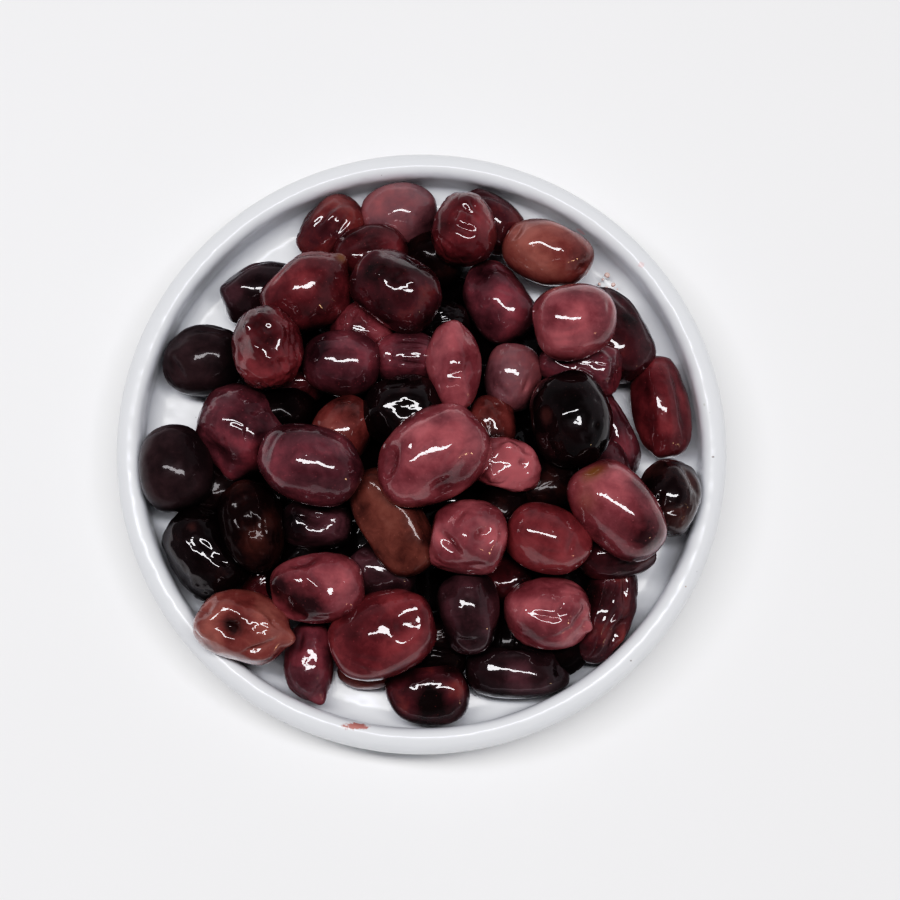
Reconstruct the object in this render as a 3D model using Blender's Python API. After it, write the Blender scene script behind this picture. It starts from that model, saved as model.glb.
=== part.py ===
"""A round white glazed dish heaped with dark brined olives.

The dish is one turned body: a flat floor, a short wall, a thick rolled rim and a foot ring.
The olives are one heap: a low mound under the pile, with every olive that shows fused on.
Metres, +Z up. The origin is on the dish's axis, at the plane that the foot ring stands on.
"""
import math
from collections import namedtuple

import bmesh
import bpy
import numpy as np
from mathutils import Matrix

MILLIMETRE = 0.001

# Driving sizes of the dish, in metres
DISH_RADIUS = 0.080
DISH_HEIGHT = 0.0225
RIM_CREST_RADIUS = 0.076
RIM_HALF_HEIGHT = 0.0042
WALL_RADIUS = 0.0733
FLOOR_HEIGHT = 0.0075
FLOOR_FILLET = 0.0050
BASE_THICKNESS = 0.0050
BASE_RADIUS = 0.0640
BASE_FILLET = 0.0080
FOOT_OUTER_RADIUS = 0.0520
FOOT_WIDTH = 0.0050
FOOT_CORNER = 0.0008
DISH_STEPS = 60

# Driving sizes of the heap, in metres
MOUND_RADIUS = 0.050
MOUND_HEIGHT = 0.015
MOUND_STEEPNESS = 2.2
MOUND_RINGS = 8
MOUND_STEPS = 20
OLIVE_SEGMENTS = 12
OLIVE_RINGS = 7
SMALL_OLIVE = 0.0105
SMALL_SEGMENTS = 10
SMALL_RINGS = 6
EGG_SHAPE = 0.12
SOFT_SKIN = 0.0015
DISH_GAP = 0.0004
SHAPE_SEED = 11

# The eye looks down on the dish from here, measured from the middle of the rim's plane
EYE_DISTANCE = 0.550
EYE_ELEVATION = math.radians(79)

# The height grid on which the olives settle
GRID_REACH = 0.084
GRID_CELL = 0.0005
SETTLE_ROUNDS = 12

# Colours, as linear light, and gloss
GLAZE_WHITE = (0.80, 0.81, 0.83)
GLAZE_ROUGHNESS = 0.12
GLAZE_COAT = 0.4
OLIVE_WINE = (0.10, 0.018, 0.022)
OLIVE_ROUGHNESS = 0.18
OLIVE_COAT = 0.6
CREASE_ANGLE = math.radians(50)

UNDERSIDE = FLOOR_HEIGHT - BASE_THICKNESS
RIM_SHOULDER = DISH_HEIGHT - RIM_HALF_HEIGHT

# One olive, as the eye sees it on the rim's plane, in millimetres and degrees:
# across to the right and up from the middle, its length, its width, and its turn
Olive = namedtuple("Olive", "across up length width turn")

# Olives that lie on the floor of the dish, in the order in which they are laid:
# first three that the pile hides and that join their neighbours to it
FLOOR_OLIVES = [
    Olive(-41.5, 24, 16, 15, 0),
    Olive(3, -51, 17, 15, 20),
    Olive(-27, -41, 16, 14, 90),
    Olive(-42, -36.5, 12.5, 11.5, 30),
    Olive(-58, 22, 21.5, 19, 10),
    Olive(-42.5, 39.5, 22, 16, 20),
    Olive(-24, 57, 20, 15.5, 40),
    Olive(-6, 61, 20, 16.5, 0),
    Olive(19, 59, 20.5, 15, -40),
    Olive(51, 29.5, 27.5, 18, -52),
    Olive(62.5, 9.5, 27.5, 16, 98),
    Olive(-57, -29.5, 27, 21, -55),
    Olive(-29.5, -57, 22, 14, 88),
    Olive(-14.5, -58.5, 15.5, 11.5, 0),
    Olive(1.5, -65, 22.5, 17, 0),
    Olive(26, -61.5, 27.5, 16, -2),
    Olive(48.5, -45, 28, 16, 68),
]

# Olives that rest on others, on the mound or on the rim, from the lowest to the top one
PILED_OLIVES = [
    Olive(64.5, -14, 21, 17.5, 80),
    Olive(-64, -6.5, 23, 19.5, 100),
    Olive(51, -28.5, 22, 13.5, 10),
    Olive(49.5, 3.5, 26, 13.5, -68),
    Olive(2.5, 47.5, 17, 15.5, 20),
    Olive(-35.5, 15.5, 21, 13, 0),
    Olive(5, 31, 16, 13.5, 10),
    Olive(31.5, -11, 18, 15.5, 20),
    Olive(-20.5, 3.5, 19, 16.5, 60),
    Olive(20.5, -17.5, 16, 14, 40),
    Olive(-10.5, -33.5, 19, 16, -20),
    Olive(18, 5.5, 15.5, 13.5, 90),
    Olive(42.5, 20, 25, 14.5, -10),
    Olive(-14, 49.5, 21.5, 15.5, 10),
    Olive(-15.5, 29.5, 17.5, 14.5, -15),
    Olive(-3.5, 22, 20, 14.5, 0),
    Olive(-44, -21.5, 25, 17, -78),
    Olive(-27.5, -21, 19, 14.5, 0),
    Olive(21, -35.5, 15.5, 13.5, 0),
    Olive(33, 50, 24.5, 17, -22),
    Olive(-30.5, 39, 25, 20.5, 30),
    Olive(-46.5, 3.5, 24.5, 23, -20),
    Olive(-5, 8.5, 21.5, 19, 10),
    Olive(23.5, 17, 18, 16, 90),
    Olive(12.5, -44, 22, 17.5, 95),
    Olive(-47, -47.5, 25.5, 19.5, -12),
    Olive(-10, -49.5, 29, 23, 22),
    Olive(11, 56, 19, 17.5, 90),
    Olive(-40, 25, 22, 19, 98),
    Olive(-6.5, 40, 25, 20.5, -28),
    Olive(20, 37.5, 23.5, 17.5, -60),
    Olive(-21, 21, 21, 17.5, -5),
    Olive(40, 32, 22, 20.5, 10),
    Olive(39, 6.5, 25.5, 22, 95),
    Olive(21, -5.5, 20, 15.5, -10),
    Olive(-8, -20, 31.5, 17.5, -58),
    Olive(8.5, 20, 23.5, 14.5, 95),
    Olive(33, -25, 23.5, 18, -20),
    Olive(51, -17.5, 30, 20.5, -50),
    Olive(-29, -5.5, 28.5, 21, -15),
    Olive(-27.5, -38, 25.5, 19.5, 5),
    Olive(32.5, -44.5, 23, 19.5, -5),
    Olive(11.5, -25, 22, 20.5, 0),
    Olive(2.5, -3.5, 32, 24, 33),
]


def clear_scene():
    """Remove every object that the scene starts with."""
    for old in list(bpy.data.objects):
        bpy.data.objects.remove(old, do_unlink=True)


def material(name, colour, roughness, coat):
    """A plain material with the part's own colour and gloss."""
    made = bpy.data.materials.new(name)
    made.use_nodes = True
    shader = made.node_tree.nodes["Principled BSDF"]
    shader.inputs["Base Color"].default_value = (*colour, 1.0)
    shader.inputs["Roughness"].default_value = roughness
    shader.inputs["Coat Weight"].default_value = coat
    return made


def arc(centre, half_width, half_height, start, end, steps):
    """Points (radius, height) on a stretch of an ellipse, angles in degrees from outward."""
    turns = [math.radians(start + (end - start) * i / steps) for i in range(steps + 1)]
    return [
        (centre[0] + half_width * math.cos(turn), centre[1] + half_height * math.sin(turn))
        for turn in turns
    ]


def dish_inside():
    """The dish's upper surface from its axis over the floor and wall to the rim's crest."""
    fillet_centre = (WALL_RADIUS - FLOOR_FILLET, FLOOR_HEIGHT + FLOOR_FILLET)
    rim_centre = (RIM_CREST_RADIUS, RIM_SHOULDER)
    return (
        [(0.0, FLOOR_HEIGHT)]
        + arc(fillet_centre, FLOOR_FILLET, FLOOR_FILLET, -90, 0, 4)
        + arc(rim_centre, RIM_CREST_RADIUS - WALL_RADIUS, RIM_HALF_HEIGHT, 180, 90, 4)
    )


def dish_outside():
    """From just outside the crest down the outer wall, in under the base and round the foot."""
    rim_centre = (RIM_CREST_RADIUS, RIM_SHOULDER)
    base_centre = (BASE_RADIUS, UNDERSIDE + BASE_FILLET)
    foot_inner = FOOT_OUTER_RADIUS - FOOT_WIDTH
    rim = arc(rim_centre, DISH_RADIUS - RIM_CREST_RADIUS, RIM_HALF_HEIGHT, 90, -45, 6)[1:]
    base = arc(base_centre, BASE_FILLET, BASE_FILLET, -25, -90, 4)
    foot = [
        (FOOT_OUTER_RADIUS + FOOT_CORNER, UNDERSIDE),
        (FOOT_OUTER_RADIUS, FOOT_CORNER),
        (FOOT_OUTER_RADIUS - FOOT_CORNER, 0.0),
        (foot_inner + FOOT_CORNER, 0.0),
        (foot_inner, FOOT_CORNER),
        (foot_inner - FOOT_CORNER, UNDERSIDE),
    ]
    return rim + base + foot + [(0.0, UNDERSIDE)]


def turned(name, profile, steps):
    """A body turned round the Z axis from a profile that runs down its outer side."""
    mesh = bpy.data.meshes.new(name)
    points = [(radius, 0.0, height) for radius, height in profile]
    edges = [(i, i + 1) for i in range(len(points) - 1)]
    mesh.from_pydata(points, edges, [])
    body = bpy.data.objects.new(name, mesh)
    bpy.context.collection.objects.link(body)
    screw = body.modifiers.new("turn", "SCREW")
    screw.steps = steps
    screw.render_steps = steps
    screw.use_merge_vertices = True
    screw.merge_threshold = 0.00001
    screw.use_smooth_shade = True
    return body


def make_dish():
    """The dish as one turned body."""
    dish = turned("dish", dish_inside() + dish_outside(), DISH_STEPS)
    dish.data.materials.append(material("glazed_white", GLAZE_WHITE, GLAZE_ROUGHNESS, GLAZE_COAT))
    return dish


def mound_height(radius):
    """Height of the mound under the pile: a dome that falls to the floor at its edge."""
    share = np.clip(radius / MOUND_RADIUS, 0.0, 1.0)
    return FLOOR_HEIGHT + DISH_GAP + MOUND_HEIGHT * (1.0 - share ** MOUND_STEEPNESS)


def make_mound():
    """The mound that the piled olives rest on, clear of the floor under it."""
    bottom = FLOOR_HEIGHT + DISH_GAP
    radii = [MOUND_RADIUS * i / MOUND_RINGS for i in range(MOUND_RINGS + 1)]
    dome = [(radius, float(mound_height(radius))) for radius in radii]
    dome[-1] = (MOUND_RADIUS, bottom + SOFT_SKIN)
    return turned("olives", dome + [(MOUND_RADIUS, bottom), (0.0, bottom)], MOUND_STEPS)


def seen_place(across, up, height):
    """Where a thing stands that shows at (across, up) on the rim's plane, at this height.

    The line from the eye through the seen place is followed to the height. Its share of the
    eye's distance also scales the thing's size.
    """
    eye_back = EYE_DISTANCE * math.cos(EYE_ELEVATION)
    eye_height = DISH_HEIGHT + EYE_DISTANCE * math.sin(EYE_ELEVATION)
    fall = -EYE_DISTANCE * math.sin(EYE_ELEVATION) + up * math.cos(EYE_ELEVATION)
    share = (height - eye_height) / fall
    forward = EYE_DISTANCE * math.cos(EYE_ELEVATION) + up * math.sin(EYE_ELEVATION)
    return share * across, share * forward - eye_back, share


def tuck_in(x, y, half_length, half_width, turn):
    """Slide an olive on the floor towards the axis until it is clear of the dish's wall."""
    distance = math.hypot(x, y)
    angle = turn - math.atan2(y, x)
    reach = math.hypot(half_length * math.cos(angle), half_width * math.sin(angle))
    share = min(1.0, (WALL_RADIUS - DISH_GAP - reach) / distance)
    return x * share, y * share


def half_thickness(grid, x, y, half_length, half_width, turn):
    """Half the olive's thickness above each grid point, and NaN outside its outline."""
    along = (grid[0] - x) * math.cos(turn) + (grid[1] - y) * math.sin(turn)
    aside = (grid[1] - y) * math.cos(turn) - (grid[0] - x) * math.sin(turn)
    inside = 1.0 - (along / half_length) ** 2 - (aside / half_width) ** 2
    return half_width * np.sqrt(np.where(inside > 0.0, inside, np.nan))


def settle():
    """Lay the olives one by one on a grid of heights, and give where each comes to rest.

    An olive sinks along the eye's line until it touches the dish, or until its soft skin
    meets the soft skin of what lies below. Each gives (x, y, z, half length, half width, turn).
    """
    steps = round(2 * GRID_REACH / GRID_CELL) + 1
    axis = np.linspace(-GRID_REACH, GRID_REACH, steps)
    grid = np.meshgrid(axis, axis)
    radius = np.hypot(grid[0], grid[1])
    inside = dish_inside()
    dish = np.interp(radius, [point[0] for point in inside], [point[1] for point in inside])
    within_wall = np.where(radius < WALL_RADIUS - DISH_GAP, dish, FLOOR_HEIGHT)
    pile = np.where(radius < MOUND_RADIUS, mound_height(radius), 0.0)
    rests = []
    for number, olive in enumerate(FLOOR_OLIVES + PILED_OLIVES):
        on_floor = number < len(FLOOR_OLIVES)
        under = within_wall if on_floor else dish
        turn = math.radians(olive.turn)
        height = DISH_HEIGHT
        for _ in range(SETTLE_ROUNDS):
            x, y, share = seen_place(olive.across * MILLIMETRE, olive.up * MILLIMETRE, height)
            half_length = olive.length * MILLIMETRE * share / 2
            half_width = olive.width * MILLIMETRE * share / 2
            if on_floor:
                x, y = tuck_in(x, y, half_length, half_width, turn)
            whole = half_thickness(grid, x, y, half_length, half_width, turn)
            soft_length = half_length - SOFT_SKIN
            soft_width = half_width - SOFT_SKIN
            soft = half_thickness(grid, x, y, soft_length, soft_width, turn)
            on_dish = np.nanmax(under + whole) + DISH_GAP
            on_pile = np.nanmax(pile + soft)
            height = (height + max(on_dish, on_pile)) / 2
        height = max(on_dish, on_pile)
        pile = np.fmax(pile, height + soft)
        rests.append((x, y, height, half_length, half_width, turn))
    return rests


def make_olive(number, rest, egg, home):
    """One olive with few sides: a stretched ball, a little narrower at one end."""
    x, y, height, half_length, half_width, turn = rest
    small = half_length < SMALL_OLIVE
    segments = SMALL_SEGMENTS if small else OLIVE_SEGMENTS
    rings = SMALL_RINGS if small else OLIVE_RINGS
    shape = bmesh.new()
    bmesh.ops.create_uvsphere(shape, u_segments=segments, v_segments=rings, radius=1.0)
    for point in shape.verts:
        narrow = 1.0 - egg * point.co.z
        point.co = (
            half_length * point.co.z,
            half_width * narrow * point.co.x,
            half_width * narrow * point.co.y,
        )
    bmesh.ops.transform(
        shape, matrix=Matrix.Translation((x, y, height)) @ Matrix.Rotation(turn, 4, "Z"),
        verts=shape.verts)
    bmesh.ops.recalc_face_normals(shape, faces=shape.faces)
    mesh = bpy.data.meshes.new(f"olive_{number:02d}")
    shape.to_mesh(mesh)
    shape.free()
    home.objects.link(bpy.data.objects.new(mesh.name, mesh))


def islands(shape):
    """The separate closed shells of a mesh, each a list of faces."""
    waiting = set(shape.faces)
    found = []
    while waiting:
        group = []
        edge_of_group = [waiting.pop()]
        while edge_of_group:
            face = edge_of_group.pop()
            group.append(face)
            for edge in face.edges:
                for other in edge.link_faces:
                    if other in waiting:
                        waiting.remove(other)
                        edge_of_group.append(other)
        found.append(group)
    return found


def shell_volume(faces):
    """Signed volume inside a shell of triangles."""
    total = 0.0
    for face in faces:
        a, b, c = (vert.co for vert in face.verts)
        total += a.dot(b.cross(c)) / 6.0
    return total


def keep_outer_shell(body):
    """Fill what fusing sealed and drop loose scraps, so that one outer shell is left."""
    shape = bmesh.new()
    shape.from_mesh(body.data)
    bmesh.ops.triangulate(shape, faces=shape.faces)
    shells = islands(shape)
    outer = max(shells, key=shell_volume)
    for faces in shells:
        if faces is not outer:
            bmesh.ops.delete(shape, geom=faces, context="FACES")
    loose = [vert for vert in shape.verts if not vert.link_faces]
    bmesh.ops.delete(shape, geom=loose, context="VERTS")
    shape.to_mesh(body.data)
    shape.free()


def make_olives():
    """The heap: the mound and the settled olives, joined to one body."""
    heap = make_mound()
    pieces = bpy.data.collections.new("olive_pieces")
    bpy.context.scene.collection.children.link(pieces)
    draw = np.random.default_rng(SHAPE_SEED)
    rests = settle()
    for number, rest in enumerate(rests):
        make_olive(number, rest, draw.uniform(-EGG_SHAPE, EGG_SHAPE), pieces)
    union = heap.modifiers.new("fuse", "BOOLEAN")
    union.operation = "UNION"
    union.operand_type = "COLLECTION"
    union.collection = pieces
    union.solver = "EXACT"
    graph = bpy.context.evaluated_depsgraph_get()
    fused = bpy.data.meshes.new_from_object(heap.evaluated_get(graph), depsgraph=graph)
    heap.modifiers.clear()
    heap.data = fused
    for piece in list(pieces.objects):
        bpy.data.objects.remove(piece, do_unlink=True)
    bpy.data.collections.remove(pieces)
    keep_outer_shell(heap)
    heap.data.materials.clear()
    heap.data.materials.append(material("olive_skin", OLIVE_WINE, OLIVE_ROUGHNESS, OLIVE_COAT))
    heap.data.shade_smooth()
    heap.data.set_sharp_from_angle(angle=CREASE_ANGLE)
    return heap


def main():
    """Build the dish and the heap of olives in it."""
    clear_scene()
    make_dish()
    make_olives()


main()
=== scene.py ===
# %% [markdown]
# A dish of brined olives
#
# The real thing is a round white glazed dish, 160 mm across, heaped with some sixty dark table
# olives that are wet with brine. The solids of the dish and of the heap come from the frame, and
# they are plain. This script makes the finish round them: a smooth glazed body, and every olive
# as a skin of its own with dents, folds, scars and uneven ripening, and on some olives painted
# shade and a painted sheen in the skin's tone.

import math
from collections import namedtuple

import bpy
import numpy as np
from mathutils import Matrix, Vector


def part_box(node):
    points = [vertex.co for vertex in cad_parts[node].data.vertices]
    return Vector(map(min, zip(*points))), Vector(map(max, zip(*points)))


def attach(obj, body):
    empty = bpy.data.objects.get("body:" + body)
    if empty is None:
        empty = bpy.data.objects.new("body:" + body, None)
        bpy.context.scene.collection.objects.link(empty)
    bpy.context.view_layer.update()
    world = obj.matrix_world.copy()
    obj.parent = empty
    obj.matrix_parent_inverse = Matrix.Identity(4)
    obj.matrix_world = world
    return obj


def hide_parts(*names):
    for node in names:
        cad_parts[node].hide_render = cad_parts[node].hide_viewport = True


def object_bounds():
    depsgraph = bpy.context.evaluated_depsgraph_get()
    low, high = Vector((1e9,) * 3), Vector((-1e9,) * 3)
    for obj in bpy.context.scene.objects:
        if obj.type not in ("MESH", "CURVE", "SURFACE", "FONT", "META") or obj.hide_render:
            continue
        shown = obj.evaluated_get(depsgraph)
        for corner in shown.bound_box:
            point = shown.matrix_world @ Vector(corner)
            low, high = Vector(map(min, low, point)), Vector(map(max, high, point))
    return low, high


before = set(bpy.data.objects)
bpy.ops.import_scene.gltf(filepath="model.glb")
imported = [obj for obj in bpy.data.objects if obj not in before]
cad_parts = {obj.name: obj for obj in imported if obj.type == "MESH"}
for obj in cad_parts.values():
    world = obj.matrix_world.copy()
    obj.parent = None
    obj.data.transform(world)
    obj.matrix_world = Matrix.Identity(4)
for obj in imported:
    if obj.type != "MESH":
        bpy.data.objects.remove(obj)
CAD_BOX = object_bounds()
print("nodes in the frame:", sorted(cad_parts))
print("box in millimetres:", [[round(1000 * c, 2) for c in corner] for corner in CAD_BOX])

# %% [markdown]
# A surface on a grid
#
# Every piece here is a skin without an end: it starts in one point, widens to rings and closes in
# another point. A sphere does that, and so do an olive and a turned dish. It could be a sphere
# from the Add menu that is pushed about, but a grid of numbers is easier to shape with formulas.
# So one helper turns such grids into a mesh, and several grids can share one mesh.

# %% Grids to meshes
MILLIMETRE = 0.001


def unroll(grid):
    """Values on a grid with a pole in its first and last row, as one list: pole, rings, pole."""
    rings = grid[1:-1].reshape(-1, *grid.shape[2:])
    return np.concatenate([grid[:1, 0], rings, grid[-1:, 0]])


def grid_faces(rows, columns):
    """Corner numbers of the faces on such a grid: a fan at each pole, and quads from ring to ring."""
    here = np.arange(columns)
    after = (here + 1) % columns
    last_ring = 1 + (rows - 3) * columns
    last_pole = 1 + (rows - 2) * columns
    first_fan = np.stack([here * 0, 1 + here, 1 + after], axis=-1)
    last_fan = np.stack([here * 0 + last_pole, last_ring + after, last_ring + here], axis=-1)
    ring = 1 + columns * np.arange(rows - 3)[:, None]
    quads = np.stack([ring + here, ring + columns + here, ring + columns + after, ring + after], axis=-1)
    return first_fan, quads.reshape(-1, 4), last_fan


def make_piece(name, grids, fields, material, node):
    """Join grids of points (rows, columns, xyz) to one smooth piece that stands for a node.

    fields holds, for each attribute's name, one grid of numbers for each grid of points.
    """
    corners = []
    sizes = []
    start = 0
    for grid in grids:
        for faces in grid_faces(*grid.shape[:2]):
            corners.append((faces + start).ravel())
            sizes.append(np.full(len(faces), faces.shape[1]))
        start += len(unroll(grid))
    corners = np.concatenate(corners)
    sizes = np.concatenate(sizes)
    points = np.concatenate([unroll(grid) for grid in grids])
    mesh = bpy.data.meshes.new(name)
    mesh.vertices.add(len(points))
    mesh.vertices.foreach_set("co", points.astype(np.float32).ravel())
    mesh.loops.add(len(corners))
    mesh.loops.foreach_set("vertex_index", corners.astype(np.int32))
    mesh.polygons.add(len(sizes))
    mesh.polygons.foreach_set("loop_start", (np.cumsum(sizes) - sizes).astype(np.int32))
    mesh.update(calc_edges=True)
    mesh.shade_smooth()
    for field, values in fields.items():
        layer = mesh.attributes.new(field, "FLOAT", "POINT")
        flat = np.concatenate([unroll(value) for value in values])
        layer.data.foreach_set("value", flat.astype(np.float32))
    mesh.materials.append(material)
    piece = bpy.data.objects.new(name, mesh)
    bpy.context.collection.objects.link(piece)
    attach(piece, "root")
    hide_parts(node)
    triangles = int(np.sum(sizes - 2))
    print(f"{name}: {len(grids)} skins, {len(points)} points, {triangles} triangles")


# %% [markdown]
# Unevenness
#
# Nothing that grew or was turned by hand is smooth to the last millimetre. Blender's own noise
# textures could displace a mesh, but here the noise is worked out on the arrays themselves, so
# that the same numbers can shape the skin and tint it. It is the plain kind: a random number at
# each corner of a lattice, blended between the corners.

# %% Smooth noise
LATTICE_SIZE = 24


def smooth_noise(points, size, seed):
    """Noise from -1 to 1 that changes over about one size, a length or one for each axis.

    The points are divided by the size. Each falls in a cell of a cubic lattice with a random
    number at every corner, and the eight numbers are blended by 6t^5 - 15t^4 + 10t^3 on each axis.
    """
    lattice = np.random.default_rng(seed).uniform(-1.0, 1.0, (LATTICE_SIZE,) * 3)
    place = points / np.asarray(size)
    cell = np.floor(place).astype(int)
    part = place - cell
    part = part ** 3 * (part * (part * 6.0 - 15.0) + 10.0)
    total = 0.0
    for corner in np.ndindex(2, 2, 2):
        weight = np.prod(np.where(corner, part, 1.0 - part), axis=-1)
        index = (cell + corner) % LATTICE_SIZE
        total = total + weight * lattice[index[..., 0], index[..., 1], index[..., 2]]
    return total


TRIED_POINTS = np.array([[0.1, 0, 0], [0.6, 0, 0], [2.2, 1, 0]])
print("noise at three points:", smooth_noise(TRIED_POINTS, 1.0, 3).round(3))

# %% [markdown]
# Colours and nodes
#
# Paint charts and screens give colours as sRGB hex values, while a shader wants linear light. One
# function turns the first into the second. A second one adds a node, sets what it is told to and
# links what it is given, so that each material reads as a short list of what is on the real skin.

# %% Colour and node helpers


def linear(hex_colour):
    """An sRGB hex colour as linear red, green, blue and a full alpha.

    Each share s is s / 12.92 in the dark end, and ((s + 0.055) / 1.055) to the power 2.4 above.
    """
    shares = np.array([int(hex_colour[i:i + 2], 16) / 255.0 for i in (0, 2, 4)])
    light = np.where(shares <= 0.04045, shares / 12.92, ((shares + 0.055) / 1.055) ** 2.4)
    return (*light, 1.0)


def add_node(tree, kind, inputs=None, **settings):
    """Add a shader node. Its inputs, by name or number, are set to a value or linked to a socket."""
    made = tree.nodes.new("ShaderNode" + kind)
    for name, value in settings.items():
        setattr(made, name, value)
    for name, value in (inputs or {}).items():
        if isinstance(value, bpy.types.NodeSocket):
            tree.links.new(value, made.inputs[name])
        else:
            made.inputs[name].default_value = value
    return made


def new_material(name):
    """An empty node material, and the tree that its nodes go in."""
    material = bpy.data.materials.new(name)
    material.use_nodes = True
    material.node_tree.nodes.clear()
    return material, material.node_tree


print("mid grey in linear light:", [round(float(c), 3) for c in linear("808080")])

# %% [markdown]
# Glazed porcelain
#
# The dish is porcelain: a white clay body, dipped in clear glaze and fired. The glaze is a skin of
# glass about 0.3 mm thick. It gives reflections over a soft white, here a little blurred by wear,
# a faint cool tint where it pools, and a few dark specks of iron from the clay. The foot ring is
# wiped before firing, so it stays matt. This dish has been splashed: a smear of dried flesh at the
# front and two pale pink smudges at the back. They could be an image painted by hand, but layers
# laid over each other by their place on the dish need no image, and stay sharp at any size.

# %% The glaze
# A Mix node has sockets for numbers, vectors and colours, so its colour ones go by their place.
MIX_FACTOR, MIX_A, MIX_B, MIX_RESULT = 0, 6, 7, 2

# Where a stain is, in millimetres from the middle of the foot, and how far it reaches each way.
Stain = namedtuple("Stain", "across along height reach colour strength")
STAINS = [
    Stain(-16.6, -73.0, 22.0, (4.6, 1.25, 2.0), "a25a4c", 0.85),
    Stain(42.9, 59.3, 15.5, (1.6, 1.8, 2.0), "eab4b8", 0.7),
    Stain(58.2, 48.4, 22.0, (1.1, 1.0, 2.0), "dcaeae", 0.7),
    Stain(75.9, -3.5, 22.5, (0.5, 0.3, 1.0), "5d5148", 0.9),
    Stain(74.9, -27.9, 22.0, (0.3, 0.4, 1.0), "77706a", 0.8),
    Stain(68.0, -37.4, 22.0, (0.3, 0.3, 1.0), "8a6f52", 0.8),
    Stain(53.5, -56.4, 22.0, (0.4, 0.3, 1.0), "6f6660", 0.8),
    Stain(73.9, 10.5, 22.5, (0.5, 0.8, 1.0), "b9b8b2", 0.8),
]
GLAZE_COLOUR, CLOUD_COLOUR, SPECK_COLOUR, CLAY_COLOUR = "d5d8dc", "dbdde0", "6b6a62", "ddd6c8"
GLAZE_CLOUD = 30.0 * MILLIMETRE

# Specks and stains are whole out to their core and gone at their edge. A speck is measured in
# shares of the spacing and a stain in shares of its reach, which noise tears by up to a depth.
SPECK_SPACING = 9.0 * MILLIMETRE
SPECK_CORE, SPECK_EDGE = 0.014, 0.03
SPECK_STRENGTH = 0.45
STAIN_TEARS_PER_METRE = 900.0
STAIN_TEAR_DEPTH = 1.3
STAIN_CORE, STAIN_EDGE = 1.25, 1.55

# The ripples of the glaze are about 6 mm long, and the clay shows below the wiped height.
FOOT_WIPED_HEIGHT = 1.2 * MILLIMETRE
FOOT_WIPED_SOFTNESS = 0.8
GLAZE_ROUGHNESS, CLAY_ROUGHNESS = 0.26, 0.75
GLAZE_RIPPLES_PER_METRE = 170.0
GLAZE_RIPPLE_HEIGHT = 0.4 * MILLIMETRE
GLAZE_RIPPLE_STRENGTH = 0.8


def porcelain_glaze():
    """Clear glaze on white porcelain: glassy, cool white, with specks, stains and a matt foot."""
    material, tree = new_material("porcelain_glaze")
    place = add_node(tree, "TexCoord").outputs["Object"]
    cloud = add_node(tree, "TexNoise", {"Vector": place, "Scale": 1.0 / GLAZE_CLOUD, "Detail": 3.0})
    layers = [(cloud.outputs["Fac"], CLOUD_COLOUR)]
    speck = add_node(tree, "TexVoronoi", {"Vector": place, "Scale": 1.0 / SPECK_SPACING})
    speck_mask = add_node(tree, "MapRange", {
        "Value": speck.outputs["Distance"], "From Min": SPECK_CORE, "From Max": SPECK_EDGE,
        "To Min": SPECK_STRENGTH, "To Max": 0.0,
    })
    layers.append((speck_mask.outputs["Result"], SPECK_COLOUR))
    torn = add_node(tree, "TexNoise", {"Vector": place, "Scale": STAIN_TEARS_PER_METRE, "Detail": 4.0})
    for stain in STAINS:
        centre = Vector((stain.across, stain.along, stain.height)) * MILLIMETRE
        size = Vector(stain.reach) * MILLIMETRE
        local = add_node(tree, "VectorMath", {0: place, 1: centre}, operation="SUBTRACT")
        local = add_node(tree, "VectorMath", {0: local.outputs[0], 1: size}, operation="DIVIDE")
        away = add_node(tree, "VectorMath", {0: local.outputs[0]}, operation="LENGTH")
        torn_edge = add_node(tree, "Math", {
            0: torn.outputs["Fac"], 1: STAIN_TEAR_DEPTH, 2: away.outputs["Value"],
        }, operation="MULTIPLY_ADD")
        mask = add_node(tree, "MapRange", {
            "Value": torn_edge.outputs[0], "From Min": STAIN_CORE, "From Max": STAIN_EDGE,
            "To Min": stain.strength, "To Max": 0.0,
        })
        layers.append((mask.outputs["Result"], stain.colour))
    height = add_node(tree, "SeparateXYZ", {0: place}).outputs["Z"]
    wiped = add_node(tree, "MapRange", {
        "Value": height, "From Min": FOOT_WIPED_SOFTNESS * FOOT_WIPED_HEIGHT,
        "From Max": FOOT_WIPED_HEIGHT, "To Min": 1.0, "To Max": 0.0,
    }).outputs["Result"]
    layers.append((wiped, CLAY_COLOUR))
    colour = linear(GLAZE_COLOUR)
    for share, layer_colour in layers:
        colour = add_node(tree, "Mix", {
            MIX_FACTOR: share, MIX_A: colour, MIX_B: linear(layer_colour),
        }, data_type="RGBA").outputs[MIX_RESULT]
    roughness = add_node(tree, "MapRange", {
        "Value": wiped, "To Min": GLAZE_ROUGHNESS, "To Max": CLAY_ROUGHNESS,
    })
    ripple = add_node(tree, "TexNoise", {
        "Vector": place, "Scale": GLAZE_RIPPLES_PER_METRE, "Detail": 1.0,
    })
    bump = add_node(tree, "Bump", {
        "Height": ripple.outputs["Fac"], "Strength": GLAZE_RIPPLE_STRENGTH, "Distance": GLAZE_RIPPLE_HEIGHT,
    })
    shader = add_node(tree, "BsdfPrincipled", {
        "Base Color": colour, "Roughness": roughness.outputs["Result"], "IOR": 1.5,
        "Normal": bump.outputs["Normal"],
    })
    add_node(tree, "OutputMaterial", {"Surface": shader.outputs["BSDF"]})
    return material


GLAZE = porcelain_glaze()
print("glaze:", len(GLAZE.node_tree.nodes), "nodes")

# %% [markdown]
# The dish
#
# A dish like this is thrown or pressed on a wheel, so it is one profile turned round an axis: flat
# floor, tight cove, short wall, a thick rolled rim, and a foot ring below. A Screw modifier
# could turn it. Here the profile is an array of radius and height, and the turning is one
# multiplication by sine and cosine, which also lets the glaze ripple a little on its way round.

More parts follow.
